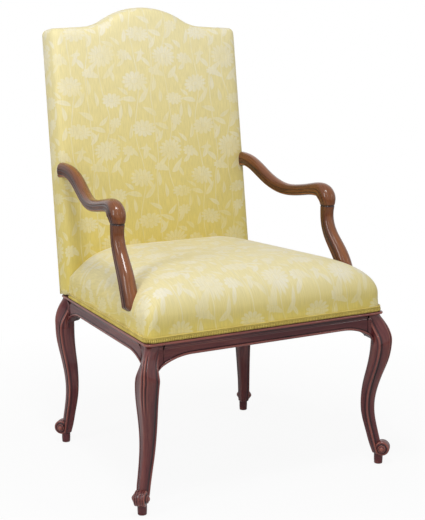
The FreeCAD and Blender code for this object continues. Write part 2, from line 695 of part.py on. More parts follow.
def main():
    # Seat frame rails
    left_front = Vector(-FRONT_WIDTH / 2, FRONT_Y, 0)
    left_rear = Vector(-REAR_WIDTH / 2, REAR_Y, 0)
    front_rail = make_rail(left_front, Vector(1, 0, 0), Vector(0, 1, 0), FRONT_WIDTH)
    back_rail = make_rail(left_rear, Vector(1, 0, 0), Vector(0, -1, 0), REAR_WIDTH)
    side_rail = make_rail(front_corner, side_dir, side_in, SIDE_LENGTH)
    side_rail = solid_of(side_rail.cut(support_tenon(FIT)))

    # Legs and rear posts
    front_leg = make_leg(FRONT, LEG_SPLAY_FRONT, 1)
    rear_leg = make_leg(REAR, LEG_SPLAY_REAR, -1)
    stile = board(STILE_IN, V_HEAD - 25.0, STILE_OUT, CREST_V, FRAME_FRONT, FRAME_REAR)
    over = Part.makeBox(800, 800, 400, Vector(-400, -400, REBATE_TOP - 400.0))
    stile_tenon_in = STILE_IN + 8.0
    stile_tenon_out = STILE_OUT - 8.0
    w0, w1 = FRAME_FRONT + 9.0, FRAME_REAR - 9.0
    peg_up = board(stile_tenon_in, CREST_V - 1.0, stile_tenon_out, CREST_V + 30.0, w0, w1)
    stile = stile.cut(over).fuse(peg_up)
    arm_hole = arm_peg(FIT, ARM_TENON_DEPTH)
    low_v = BACK_RAIL_LOW
    high_v = low_v + BACK_RAIL_HEIGHT
    rail_tenon = board(STILE_IN - 1.0, low_v + 6.0, STILE_IN + 16.0, high_v - 6.0, w0, w1)
    rail_hole = board(STILE_IN - 1.0, low_v + 6.0 - FIT, STILE_IN + 16.0 + FIT, high_v - 6.0 + FIT, w0 - FIT, w1 + FIT)
    rear_post = solid_of(rear_leg.fuse(stile).cut([arm_hole, rail_hole]))

    # Corner blocks and their screws
    blocks, screws = [], []
    for c in (FRONT, REAR):
        screw = block_screw(c, 0)
        block = corner_block(c).cut(block_screw(c, FIT))
        blocks += [block, left_of(block)]
        screws += [screw, left_of(screw)]
    front_leg = solid_of(front_leg.cut(block_screw(FRONT, FIT)))
    rear_post = solid_of(rear_post.cut(block_screw(REAR, FIT)))

    save("front_rail", front_rail)
    save("back_rail", back_rail)
    save("side_rail_left", side_rail)
    save("side_rail_right", left_of(side_rail))
    save("front_leg_left", front_leg)
    save("front_leg_right", left_of(front_leg))
    save("rear_post_left", rear_post)
    save("rear_post_right", left_of(rear_post))
    save("corner_blocks", blocks)
    save("corner_block_screws", screws)

    # Back frame
    inner_form = back_form(FRAME_REAR, COVER + SEAT_GAP, back_v(BACK_FOOT) + SEAT_GAP)
    crest = board(-BACK_HALF, CREST_V + SEAT_GAP, BACK_HALF, 800.0, FRAME_FRONT, FRAME_REAR)
    crest = crest.common(inner_form)
    sockets = board(stile_tenon_in - FIT, CREST_V - 1.0, stile_tenon_out + FIT, CREST_V + 30.0 + FIT, w0 - FIT, w1 + FIT)
    crest = solid_of(crest.cut([sockets, left_of(sockets)]))
    save("crest_rail", crest)
    lower = board(-STILE_IN + FIT, low_v, STILE_IN - FIT, high_v, FRAME_FRONT, FRAME_REAR)
    lower = solid_of(lower.fuse([rail_tenon, left_of(rail_tenon)]))
    save("back_lower_rail", lower)

    # Webbing and canvas over the front of the back frame
    w = FRAME_FRONT - FIT - WEB_THICKNESS
    straps = []
    for u in (-130.0, 0.0, 130.0):
        half = WEB_WIDTH / 2
        straps.append(board(u - half, low_v + 8.0, u + half, CREST_V + 22.0, w, w + WEB_THICKNESS))
    w = w - FIT - WEB_THICKNESS
    for share in (0.22, 0.42, 0.62, 0.82):
        v = high_v + (CREST_V - high_v) * share
        reach = STILE_IN + 18.0
        straps.append(board(-reach, v - WEB_WIDTH / 2, reach, v + WEB_WIDTH / 2, w, w + WEB_THICKNESS))
    arm_bore = [arm_peg(0.5, ARM_TENON_DEPTH), left_of(arm_peg(0.5, ARM_TENON_DEPTH))]
    save("back_webbing", [s.cut(arm_bore) for s in straps])
    w = w - FIT - CANVAS
    reach = STILE_OUT - 5.0
    canvas = board(-reach, low_v + 5.0, reach, CREST_V + 60.0, w, w + CANVAS).cut(arm_bore)
    save("back_canvas", canvas)

    # Back stuffing and covers
    limit = w - FIT
    trim = board(-300, -100, 300, 800, limit, limit + 100)
    pad = back_form(FRAME_REAR, COVER + SEAT_GAP, back_v(BACK_FOOT) + SEAT_GAP)
    seat_deck = REBATE_TOP + DECK
    under_deck = Part.makeBox(800, 800, 400, Vector(-400, -400, seat_deck - 400.0))
    pad = pad.cut([trim, under_deck] + arm_bore)
    save("back_stuffing", solid_of(pad))
    shell_rear = BACK_THICKNESS - COVER - FIT
    outer = back_form(shell_rear, 0.0, back_v(BACK_FOOT))
    inner = back_form(shell_rear + 1.0, COVER, back_v(BACK_FOOT) - 5.0)
    on_rails = Part.makeBox(800, 800, 400, Vector(-400, -400, RAIL_TOP + SEAT_GAP - 400.0))
    behind_seat = 2 * side_half(BACK_ORIGIN.y, REBATE_INSET - SEAT_GAP)
    tuck = Part.makeBox(behind_seat, 80, 400, Vector(-behind_seat / 2, BACK_ORIGIN.y - 40.0, seat_deck - 400.0))
    cover = outer.cut([inner, on_rails, tuck] + arm_bore)
    save("inside_back_cover", solid_of(cover))
    edge = back_outline(BACK_THICKNESS, 2.0, 1.0, back_v(BACK_FOOT))
    panel = Part.Face(Part.makePolygon(edge + [edge[0]])).extrude(BACK_IN * -COVER)
    save("outside_back_cover", panel.cut(on_rails))

    # Arms and their supports
    arm = make_arm()
    peg = arm_peg(0, ARM_TENON_DEPTH)
    foot = SUPPORT_SPINE[0]
    joint = Vector(foot[0], FRONT_Y + foot[1], foot[2])
    joint_low = joint - Vector(0, 0, DOWEL_LENGTH / 2)
    bore = Part.makeCylinder(DOWEL_RADIUS + FIT, DOWEL_LENGTH + 2 * FIT, joint_low - Vector(0, 0, FIT), Vector(0, 0, 1))
    dowel = Part.makeCylinder(DOWEL_RADIUS, DOWEL_LENGTH, joint_low, Vector(0, 0, 1))
    arm = solid_of(arm.fuse(peg).cut(bore))
    save("arm_left", arm)
    save("arm_right", left_of(arm))
    support = support_body(0).fuse(support_tenon(0)).cut(bore)
    support = solid_of(support)
    save("arm_support_left", support)
    save("arm_support_right", left_of(support))
    save("arm_dowels", [dowel, left_of(dowel)])

    # Seat upholstery
    save("seat_webbing", seat_straps())
    hole = support_body(0.5)
    both = [hole, left_of(hole), back_form(BACK_THICKNESS, -SEAT_GAP, back_v(BACK_FOOT) - 5.0)]
    level = REBATE_TOP + 3 * FIT + 2 * WEB_THICKNESS
    canvas = frame_block(level, level + CANVAS, REBATE_INSET + 2.0).cut(both + [behind_back(SEAT_GAP)])
    save("seat_canvas", solid_of(canvas))
    base = RAIL_TOP + SEAT_GAP
    stuffing = seat_form(COVER + SEAT_GAP, base)
    core = frame_block(base - 5, level + CANVAS + FIT, REBATE_INSET - SEAT_GAP)
    stuffing = stuffing.cut([core, behind_back(SEAT_GAP)] + both)
    save("seat_stuffing", solid_of(stuffing))
    cover = seat_form(0.0, base).cut([seat_form(COVER, base - 5.0), behind_back(SEAT_GAP)] + both)
    save("seat_cover", solid_of(cover))
    save("seat_gimp", gimp_band())

    # Dust cover under the seat
    i = REBATE_INSET + RAIL_THICKNESS + SEAT_GAP
    z = RAIL_BOTTOM + 2.0
    corners = []
    for c in (FRONT, REAR):
        corners.append([c.on_a(BLOCK_LEG, i, z), c.on_b(BLOCK_LEG, i, z)])
    ring = corners[0] + [corners[1][1], corners[1][0]]
    ring = ring + [Vector(-v.x, v.y, v.z) for v in reversed(ring)]
    dust = Part.Face(Part.makePolygon(ring + [ring[0]])).extrude(Vector(0, 0, DUST_THICKNESS))
    save("dust_cover", dust)


main()
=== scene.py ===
# %% [markdown]
# # An upholstered open armchair
# This lesson dresses a fauteuil: a raked, camel-topped back, a domed seat, and a polished show-wood frame of
# moulded rails, serpentine arms and cabriole legs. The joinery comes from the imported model, in metres.
# We keep its hidden pieces and model what the eye sees again, at a finer step.

# %% Load the frame
import bpy
import bmesh
import math
import numpy as np
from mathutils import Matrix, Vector


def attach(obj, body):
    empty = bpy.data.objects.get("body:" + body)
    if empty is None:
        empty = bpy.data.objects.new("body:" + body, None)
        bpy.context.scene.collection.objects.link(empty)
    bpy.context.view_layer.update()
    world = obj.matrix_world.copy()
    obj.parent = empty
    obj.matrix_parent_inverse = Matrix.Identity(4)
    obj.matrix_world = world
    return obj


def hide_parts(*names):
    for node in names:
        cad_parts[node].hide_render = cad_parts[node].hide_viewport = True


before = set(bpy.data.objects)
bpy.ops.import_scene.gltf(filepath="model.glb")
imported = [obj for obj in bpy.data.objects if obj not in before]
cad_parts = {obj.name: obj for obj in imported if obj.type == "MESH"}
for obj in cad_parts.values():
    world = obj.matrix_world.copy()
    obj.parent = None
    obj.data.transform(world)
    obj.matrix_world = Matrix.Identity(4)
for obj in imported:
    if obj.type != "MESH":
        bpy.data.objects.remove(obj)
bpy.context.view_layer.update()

# %% [markdown]
# ## Camera
# The camera stands where the photographer stood: in front, towards the sitter's right, and about as high as the
# back's top.

# %% Camera
CAMERA_AT = Vector((-1.496, -2.5957, 1.0463))
LOOKING = Vector((0.4984, 0.8469, -0.1855))
LENS_MM = 87.16

lens = bpy.data.cameras.new("camera")
lens.lens = LENS_MM
lens.sensor_width = 36.0
camera = bpy.data.objects.new("camera", lens)
camera.location = CAMERA_AT
camera.rotation_euler = LOOKING.to_track_quat("-Z", "Y").to_euler()
bpy.context.collection.objects.link(camera)
bpy.context.scene.camera = camera
print("camera lens", LENS_MM, "mm")

# %% [markdown]
# ## Sizes
# All sizes are the chair's own, in millimetres, and are turned to metres only when a mesh is made.

# %% Sizes of the frame
FRONT_Y, FRAME_DEPTH = -317.0, 561.0
FRONT_WIDTH, REAR_WIDTH = 634.0, 530.0
RAIL_TOP, RAIL_BOTTOM, REBATE_TOP = 380.0, 344.5, 415.0
FRIEZE_INSET, REBATE_INSET, RAIL_THICKNESS = 8.0, 12.0, 22.0
BEAD, COVE, CORNER_RADIUS, HEAD_LENGTH = 6.5, 5.0, 14.0, 46.0
UNDERSIDE_RUN, UNDERSIDE_DROP, BRACKET_RADIUS, BRACKET_FOOT = 71.0, 17.5, 36.0, 295.0
LOWER_BEAD, CORNER_EASE = 3.0, 14.0
REAR_Y = FRONT_Y + FRAME_DEPTH
O45 = math.sqrt(0.5)

# %% [markdown]
# ## Helpers
# Three small tools carry most of the work: a smooth curve through a few stations, a skin over rings of points,
# and one function that adds a shader node with its settings and links.

# %% Curves and skins
def smooth(stations, count):
    """A natural cubic curve through rows of numbers, one step of the curve per row, sampled count times."""
    p = np.array(stations, dtype=float)
    n = len(p)
    t = np.arange(n, dtype=float)
    a = np.zeros((n, n))
    r = np.zeros_like(p)
    a[0, 0] = a[-1, -1] = 1.0
    for k in range(1, n - 1):
        a[k, k - 1:k + 2] = 1.0, 4.0, 1.0
        r[k] = 6.0 * (p[k + 1] - 2.0 * p[k] + p[k - 1])
    m = np.linalg.solve(a, r)
    out = []
    for s in np.linspace(0.0, n - 1.0, count):
        k = min(int(s), n - 2)
        f = s - k
        g = 1.0 - f
        out.append(m[k] * (g ** 3 - g) / 6 + m[k + 1] * (f ** 3 - f) / 6 + p[k] * g + p[k + 1] * f)
    return np.array(out)


def skin(rings):
    """Vertices and faces over rings of points; the two ends are closed by fans."""
    rings = [np.asarray(r, dtype=float) for r in rings]
    m = len(rings[0])
    faces = []
    for i in range(len(rings) - 1):
        for j in range(m):
            k = (j + 1) % m
            faces.append((i * m + j, i * m + k, (i + 1) * m + k, (i + 1) * m + j))
    first = len(rings) * m
    verts = np.concatenate(rings + [[rings[0].mean(axis=0)], [rings[-1].mean(axis=0)]])
    base = (len(rings) - 1) * m
    faces += [(first, (j + 1) % m, j) for j in range(m)]
    faces += [(first + 1, base + j, base + (j + 1) % m) for j in range(m)]
    return verts, faces


print("a smooth curve through 3 stations has", len(smooth([(0, 0), (1, 1), (2, 0)], 9)), "points")


# %% Pieces
def make_piece(name, verts, faces, carve=None, grain=None, mirror=False):
    """A mesh object in metres from millimetres, with its carving and grain kept as attributes."""
    v = np.array(verts, dtype=float) * 0.001
    if mirror:
        v[:, 0] *= -1
    mesh = bpy.data.meshes.new(name)
    mesh.from_pydata(v.tolist(), [], [tuple(f) for f in faces])
    if carve is not None:
        layer = mesh.attributes.new("carve", "FLOAT", "POINT")
        layer.data.foreach_set("value", np.asarray(carve, dtype=np.float32))
    if grain is not None:
        layer = mesh.attributes.new("grain", "FLOAT_VECTOR", "POINT")
        layer.data.foreach_set("vector", (np.asarray(grain, dtype=np.float32) * 0.001).ravel())
    bm = bmesh.new()
    bm.from_mesh(mesh)
    bmesh.ops.recalc_face_normals(bm, faces=bm.faces)
    bm.to_mesh(mesh)
    bm.free()
    mesh.shade_smooth()
    obj = bpy.data.objects.new(name, mesh)
    bpy.context.collection.objects.link(obj)
    return obj


def gather(parts):
    """Several (verts, faces, carve, grain) shells as one."""
    verts, faces, carve, grain = [], [], [], []
    for v, f, c, g in parts:
        base = len(verts)
        verts.extend(np.asarray(v).tolist())
        faces.extend([tuple(i + base for i in face) for face in f])
        carve.extend(list(c))
        grain.extend(np.asarray(g).tolist())
    return verts, faces, carve, grain


def ease(x):
    """A smooth step from 0 to 1."""
    x = min(1.0, max(0.0, x))
    return x * x * (3 - 2 * x)


print("half way, the step is at", ease(0.5))


# %% Shader helper
def linear(code):
    """An sRGB hex colour as linear RGBA."""
    rgb = [int(code[i:i + 2], 16) / 255.0 for i in (1, 3, 5)]
    return [c / 12.92 if c <= 0.04045 else ((c + 0.055) / 1.055) ** 2.4 for c in rgb] + [1.0]


def add(tree, kind, links=None, out=0, **settings):
    """Adds one node, links or sets its inputs, and gives one of its outputs."""
    node = tree.nodes.new(kind)
    for key, value in settings.items():
        setattr(node, key, value)
    for key, value in (links or {}).items():
        socket = node.inputs[key]
        if isinstance(value, bpy.types.NodeSocket):
            tree.links.new(value, socket)
        else:
            socket.default_value = value
    return node.outputs[out]


def new_material(name):
    """A material with a bare Principled shader, and its tree."""
    mat = bpy.data.materials.new(name)
    mat.use_nodes = True
    return mat, mat.node_tree, mat.node_tree.nodes["Principled BSDF"]


MATH = "ShaderNodeMath"
print("helpers ready")

# %% [markdown]
# ## Polished hardwood
# The show-wood is close-grained hardwood under a reddish walnut stain and a shellac polish. Polish and dust,
# with painted shade, darken the hollows of the mouldings; rubbing by hands and painted highlights lighten the
# crests to amber. The carve attribute holds how hollow (-1) or proud (+1) each point is, and the grain attribute
# runs along each piece.

# %% Show-wood material
GRAIN_MM, GRAIN_STRETCH = 1.6, 26
FIGURE_MM, FIGURE_STRETCH = 22.0, 9


def wood_material(name, dark, body, crest_wear_and_highlight, gloss):
    """Stained and polished hardwood, darker in the hollows from dust and painted shade, lighter on the crests
    from rubbing and painted highlights.
    """
    mat, t, shader = new_material(name)
    grain = add(t, "ShaderNodeAttribute", out="Vector", attribute_name="grain")
    carve = add(t, "ShaderNodeAttribute", out="Fac", attribute_name="carve")
    # Pores and streaks are long along the piece, so that axis is squeezed
    fine_scale = (1000 / GRAIN_MM, 1000 / GRAIN_MM, 1000 / GRAIN_MM / GRAIN_STRETCH)
    wide_scale = (1000 / FIGURE_MM, 1000 / FIGURE_MM, 1000 / FIGURE_MM / FIGURE_STRETCH)
    fine = add(t, "ShaderNodeMapping", {"Vector": grain, "Scale": fine_scale})
    streak = {"Vector": fine, "Scale": 1.0, "Detail": 4.0, "Roughness": 0.65}
    streak = add(t, "ShaderNodeTexNoise", streak, out="Fac")
    wide = add(t, "ShaderNodeMapping", {"Vector": grain, "Scale": wide_scale})
    figure = {"Vector": wide, "Scale": 1.0, "Detail": 3.0, "Distortion": 0.6}
    figure = add(t, "ShaderNodeTexNoise", figure, out="Fac")
    # The carve attribute moves the colour: hollows darker as dust with painted shade, crests lighter as wear
    # with painted highlights
    depth = add(t, MATH, {0: carve, 1: 0.34, 2: 0.08}, operation="MULTIPLY_ADD")
    depth = add(t, MATH, {0: figure, 1: 0.50, 2: depth}, operation="MULTIPLY_ADD")
    depth = add(t, MATH, {0: streak, 1: 0.30, 2: depth}, operation="MULTIPLY_ADD")
    ramp = t.nodes.new("ShaderNodeValToRGB")
    ramp.color_ramp.elements[0].position = 0.18
    ramp.color_ramp.elements[0].color = linear(dark)
    ramp.color_ramp.elements[1].position = 0.86
    ramp.color_ramp.elements[1].color = linear(crest_wear_and_highlight)
    middle = ramp.color_ramp.elements.new(0.5)
    middle.color = linear(body)
    t.links.new(depth, ramp.inputs["Fac"])
    t.links.new(ramp.outputs["Color"], shader.inputs["Base Color"])
    rough = add(t, MATH, {0: streak, 1: 0.12, 2: gloss}, operation="MULTIPLY_ADD")
    t.links.new(rough, shader.inputs["Roughness"])
    bump = add(t, "ShaderNodeBump", {"Height": streak, "Strength": 0.18, "Distance": 0.0004})
    t.links.new(bump, shader.inputs["Normal"])
    shader.inputs["IOR"].default_value = 1.5
    shader.inputs["Specular IOR Level"].default_value = 0.18
    shader.inputs["Coat Weight"].default_value = 0.55
    shader.inputs["Coat Roughness"].default_value = 0.06
    return mat


show_wood = wood_material("polished_walnut_stained_hardwood", "#1E080E", "#5E282C", "#A25F50", 0.25)
rubbed_wood = wood_material("polished_walnut_rubbed_by_hands", "#180604", "#481F10", "#96592C", 0.22)
print("show-wood: grain", GRAIN_MM, "mm, figure", FIGURE_MM, "mm")

# %% [markdown]
# ## Silk damask
# The cover is a tone-on-tone damask: a pale gold ground in satin, and an ivory figure of daisies, leaf pairs and
# thin stems. The figure is drawn by shader nodes in real millimetres: two small groups, one for a daisy and one
# for a leaf, are placed again and again in a repeat, and the largest mask wins.

# %% Damask motifs
REPEAT_U, REPEAT_V = 0.176, 0.236


def centred(t, u, v, cu, cv):
    """Coordinates about a motif's centre, in the nearest repeat."""
    places = []
    for x, c, size in ((u, cu, REPEAT_U), (v, cv, REPEAT_V)):
        shifted = add(t, MATH, {0: x, 1: c}, operation="SUBTRACT")
        places.append(add(t, MATH, {0: shifted, 1: size / 2, 2: -size / 2}, operation="WRAP"))
    return places


def group_of(name, inputs):
    """An empty shader group with float inputs and one float output."""
    g = bpy.data.node_groups.new(name, "ShaderNodeTree")
    for label in inputs:
        g.interface.new_socket(label, in_out="INPUT", socket_type="NodeSocketFloat")
    g.interface.new_socket("Mask", in_out="OUTPUT", socket_type="NodeSocketFloat")
    source = g.nodes.new("NodeGroupInput")
    sink = g.nodes.new("NodeGroupOutput")
    return g, source, sink


print("damask repeat", REPEAT_U * 1000, "by", REPEAT_V * 1000, "mm")

# %% Daisy
# Petals come from the cosine of the angle, inside them a dark ring and a full eye
daisy, din, dout = group_of("daisy", ["U", "V", "Centre U", "Centre V", "Radius", "Petals", "Turn", "Open"])
du, dv = centred(daisy, din.outputs["U"], din.outputs["V"], din.outputs["Centre U"], din.outputs["Centre V"])
dv = add(daisy, MATH, {0: dv, 1: din.outputs["Open"]}, operation="DIVIDE")
dr = add(daisy, "ShaderNodeCombineXYZ", {0: du, 1: dv})
dr = add(daisy, "ShaderNodeVectorMath", {0: dr}, out="Value", operation="LENGTH")
dr = add(daisy, MATH, {0: dr, 1: din.outputs["Radius"]}, operation="DIVIDE")
angle = add(daisy, MATH, {0: dv, 1: du}, operation="ARCTAN2")
angle = add(daisy, MATH, {0: angle, 1: din.outputs["Turn"]}, operation="ADD")
half_petals = add(daisy, MATH, {0: din.outputs["Petals"], 1: 0.5}, operation="MULTIPLY")
petal = add(daisy, MATH, {0: angle, 1: half_petals}, operation="MULTIPLY")
petal = add(daisy, MATH, {0: petal}, operation="COSINE")
petal = add(daisy, MATH, {0: petal}, operation="ABSOLUTE")
petal = add(daisy, MATH, {0: petal, 1: 0.45}, operation="POWER")
tip = add(daisy, MATH, {0: petal, 1: 0.42, 2: 0.58}, operation="MULTIPLY_ADD")
inside = add(daisy, MATH, {0: tip, 1: dr}, operation="SUBTRACT")
inside = add(daisy, "ShaderNodeMapRange", {"Value": inside, "From Min": -0.05, "From Max": 0.08})
split = add(daisy, "ShaderNodeMapRange", {"Value": petal, "From Min": 0.30, "From Max": 0.52, "To Min": 0.25})
ring = add(daisy, MATH, {0: dr, 1: 0.27}, operation="SUBTRACT")
ring = add(daisy, MATH, {0: ring}, operation="ABSOLUTE")
ring = add(daisy, "ShaderNodeMapRange", {"Value": ring, "From Min": 0.0, "From Max": 0.07, "To Min": 0.55})
core = add(daisy, "ShaderNodeMapRange", {"Value": dr, "From Min": 0.30, "From Max": 0.24})
mask = add(daisy, MATH, {0: split, 1: core}, operation="MAXIMUM")
mask = add(daisy, MATH, {0: inside, 1: mask}, operation="MULTIPLY")
mask = add(daisy, MATH, {0: mask, 1: ring}, operation="MULTIPLY")
daisy.links.new(mask, dout.inputs["Mask"])

print("daisy group", len(daisy.nodes), "nodes")

# %% Leaf
# A lens along its own axis, bent to one side, with a mid vein
leaf, lin, lout = group_of("leaf", ["U", "V", "Base U", "Base V", "Length", "Width", "Angle"])
lu, lv = centred(leaf, lin.outputs["U"], lin.outputs["V"], lin.outputs["Base U"], lin.outputs["Base V"])
co = add(leaf, MATH, {0: lin.outputs["Angle"]}, operation="COSINE")
si = add(leaf, MATH, {0: lin.outputs["Angle"]}, operation="SINE")
along = add(leaf, MATH, {0: lv, 1: si}, operation="MULTIPLY")
along = add(leaf, MATH, {0: lu, 1: co, 2: along}, operation="MULTIPLY_ADD")
sideways = add(leaf, MATH, {0: lu, 1: si}, operation="MULTIPLY")
across = add(leaf, MATH, {0: lv, 1: co}, operation="MULTIPLY")
across = add(leaf, MATH, {0: across, 1: sideways}, operation="SUBTRACT")
share = add(leaf, MATH, {0: along, 1: lin.outputs["Length"]}, operation="DIVIDE", use_clamp=True)
bend = add(leaf, MATH, {0: share, 1: share}, operation="MULTIPLY")
bend = add(leaf, MATH, {0: bend, 1: lin.outputs["Width"]}, operation="MULTIPLY")
across = add(leaf, MATH, {0: across, 1: bend}, operation="SUBTRACT")
across = add(leaf, MATH, {0: across}, operation="ABSOLUTE")
half_width = add(leaf, MATH, {0: share, 1: 0.8}, operation="POWER")
half_width = add(leaf, MATH, {0: half_width, 1: math.pi}, operation="MULTIPLY")
half_width = add(leaf, MATH, {0: half_width}, operation="SINE")
half_width = add(leaf, MATH, {0: half_width, 1: lin.outputs["Width"]}, operation="MULTIPLY")
half_width = add(leaf, MATH, {0: half_width, 1: 0.5}, operation="MULTIPLY")
body = add(leaf, MATH, {0: half_width, 1: across}, operation="SUBTRACT")
body = add(leaf, "ShaderNodeMapRange", {"Value": body, "From Min": -0.0004, "From Max": 0.0018})
vein = {"Value": across, "From Min": 0.0002, "From Max": 0.0010, "To Min": 0.65}
vein = add(leaf, "ShaderNodeMapRange", vein)
leaf.links.new(add(leaf, MATH, {0: body, 1: vein}, operation="MULTIPLY"), lout.inputs["Mask"])
print("leaf group", len(leaf.nodes), "nodes")

# %% [markdown]
# Where each motif stands in the repeat is a design of its own: three climbing stems, each with its daisy and its
# pairs of leaves. Numbers are millimetres and degrees.

# %% Damask material
# Each daisy has its centre, radius, count of petals, turn and how open it looks
DAISIES = [(38, 60, 33, 13, 0.2, 0.74), (126, 128, 35, 15, 0.5, 0.84), (56, 186, 32, 12, 0.9, 0.66),
           (148, 20, 27, 11, 0.0, 0.60), (8, 126, 19, 9, 0.3, 0.8), (92, 88, 17, 9, 0.7, 0.7),
           (150, 206, 18, 9, 0.4, 0.75)]
# Each stem has its place across, its swing and its phase
STEMS = [(40, 7, 0.0), (126, 8, 2.1), (84, 5, 4.0)]
# Each leaf has its base, length, width and angle
LEAVES = [(44, 8, 48, 15, 35), (38, 12, 46, 15, 150), (46, 108, 44, 14, 52), (34, 112, 42, 14, 128),
          (128, 70, 50, 16, 30), (120, 74, 46, 15, 146), (132, 176, 46, 15, 48), (122, 182, 44, 14, 140),
          (84, 36, 40, 13, 68), (86, 92, 42, 14, 20), (82, 98, 40, 13, 118), (84, 150, 40, 13, 40),
          (160, 60, 36, 12, 100), (164, 210, 38, 12, 64), (90, 214, 40, 14, 132), (20, 210, 36, 12, 80),
          (66, 30, 34, 12, 102), (104, 8, 36, 12, 74), (12, 160, 38, 13, 56), (2, 150, 34, 12, 118),
          (100, 158, 34, 12, 96), (72, 132, 32, 11, 160), (166, 96, 34, 12, 28), (16, 28, 32, 11, 124),
          (104, 202, 34, 12, 22), (160, 146, 36, 12, 132)]


def damask_material(name, ground, figure, lit_ground, lit_figure, thread_mm):
    """Woven figure on a satin ground; both colours turn paler towards the top, as painted light where the lamps
    fall most.
    """
    mat, t, shader = new_material(name)
    # Painted light: higher parts of each pad mix towards the paler, lit colours
    painted_top_light = add(t, "ShaderNodeAttribute", out="Fac", attribute_name="painted_top_light")
    ground = {0: painted_top_light, 6: linear(ground), 7: linear(lit_ground)}
    ground = add(t, "ShaderNodeMix", ground, out=2, data_type="RGBA")
    figure = {0: painted_top_light, 6: linear(figure), 7: linear(lit_figure)}
    figure = add(t, "ShaderNodeMix", figure, out=2, data_type="RGBA")
    uv = add(t, "ShaderNodeUVMap", uv_map="cloth")
    # Cloth is never pulled quite straight, so the figure drifts a few millimetres
    drift = add(t, "ShaderNodeTexNoise", {"Vector": uv, "Scale": 7.0, "Detail": 1.5}, out="Color")
    drift = add(t, "ShaderNodeVectorMath", {0: drift, 1: (0.5, 0.5, 0.5)}, operation="SUBTRACT")
    drift = add(t, "ShaderNodeVectorMath", {0: drift, "Scale": 0.034}, operation="SCALE")
    place = add(t, "ShaderNodeVectorMath", {0: uv, 1: drift}, operation="ADD")
    split_uv = t.nodes.new("ShaderNodeSeparateXYZ")
    t.links.new(place, split_uv.inputs[0])
    u, v = split_uv.outputs[0], split_uv.outputs[1]
    total = None
    rows = [(daisy, dict(zip(["Centre U", "Centre V", "Radius", "Petals", "Turn", "Open"],
            (a * 0.001, b * 0.001, c * 0.001, float(n), e, f)))) for a, b, c, n, e, f in DAISIES]
    rows += [(leaf, dict(zip(["Base U", "Base V", "Length", "Width", "Angle"],
             (a * 0.001, b * 0.001, c * 0.001, w * 0.001, math.radians(e))))) for a, b, c, w, e in LEAVES]
    for tree, numbers in rows:
        one = add(t, "ShaderNodeGroup", dict(numbers, U=u, V=v), node_tree=tree)
        total = one if total is None else add(t, MATH, {0: total, 1: one}, operation="MAXIMUM")
    for at, swing, phase in STEMS:
        wave = add(t, MATH, {0: v, 1: 2 * math.pi / REPEAT_V, 2: phase}, operation="MULTIPLY_ADD")
        wave = add(t, MATH, {0: wave}, operation="SINE")
        wave = add(t, MATH, {0: wave, 1: swing * 0.001, 2: at * 0.001}, operation="MULTIPLY_ADD")
        off = add(t, MATH, {0: u, 1: wave}, operation="SUBTRACT")
        off = add(t, MATH, {0: off, 1: REPEAT_U / 2, 2: -REPEAT_U / 2}, operation="WRAP")
        off = add(t, MATH, {0: off}, operation="ABSOLUTE")
        line = {"Value": off, "From Min": 0.0020, "From Max": 0.0006, "To Max": 0.8}
        line = add(t, "ShaderNodeMapRange", line)
        total = add(t, MATH, {0: total, 1: line}, operation="MAXIMUM")
    # Weft floats make fine streaks up the cloth, and break the figure's edge a little
    silk_scale = (1000 / thread_mm / 2, 1000 / thread_mm / 22, 1.0)
    silk = add(t, "ShaderNodeMapping", {"Vector": uv, "Scale": silk_scale})
    streak = add(t, "ShaderNodeTexNoise", {"Vector": silk, "Scale": 1.0, "Detail": 2.0}, out="Fac")
    soft = add(t, "ShaderNodeTexNoise", {"Vector": uv, "Scale": 14.0, "Detail": 2.0}, out="Fac")
    worn = {"Value": soft, "From Min": 0.3, "From Max": 0.68, "To Min": 0.35, "To Max": 0.92}
    worn = add(t, "ShaderNodeMapRange", worn)
    figure_mask = add(t, MATH, {0: total, 1: worn}, operation="MULTIPLY")
    mix = add(t, "ShaderNodeMix", {0: figure_mask, 6: ground, 7: figure}, out=2, data_type="RGBA")
    tone = {"Value": streak, "From Min": 0.3, "From Max": 0.7, "To Min": 0.93, "To Max": 1.05}
    tone = add(t, "ShaderNodeMapRange", tone)
    toned = add(t, "ShaderNodeVectorMath", {0: mix, "Scale": tone}, operation="SCALE")
    t.links.new(toned, shader.inputs["Base Color"])
    rough = add(t, "ShaderNodeMapRange", {"Value": figure_mask, "To Min": 0.52, "To Max": 0.72})
    t.links.new(rough, shader.inputs["Roughness"])
    threads = {"Vector": uv, "Scale": 1000 / thread_mm / 20 * math.pi, "Distortion": 1.0, "Detail": 1.0}
    threads = add(t, "ShaderNodeTexWave", threads, out="Fac", bands_direction="Y")
    height = add(t, MATH, {0: threads, 1: 0.3, 2: figure_mask}, operation="MULTIPLY_ADD")
    bump = add(t, "ShaderNodeBump", {"Height": height, "Strength": 0.25, "Distance": 0.0003})
    t.links.new(bump, shader.inputs["Normal"])
    shader.inputs["Sheen Weight"].default_value = 0.25
    shader.inputs["Sheen Roughness"].default_value = 0.4
    shader.inputs["Specular IOR Level"].default_value = 0.35
    return mat


# The third and fourth colours are the ground and the figure, painted paler where light falls most
damask = damask_material("pale_gold_silk_damask", "#E0CC6C", "#E8DCA6", "#EDE1AC", "#F1EBD5", 1.1)
print("damask with", len(DAISIES), "daisies and", len(LEAVES), "leaves in a repeat")

# %% [markdown]
# ## Moulded rails and leg heads
# The four rails and the tops of the legs share one moulding: a bead along the top edge, a cove under it, a flat
# frieze and a small bead along the lower edge, which follows the curved underside down into each leg. The
# moulding is one section, carried along the rails and round the corners.

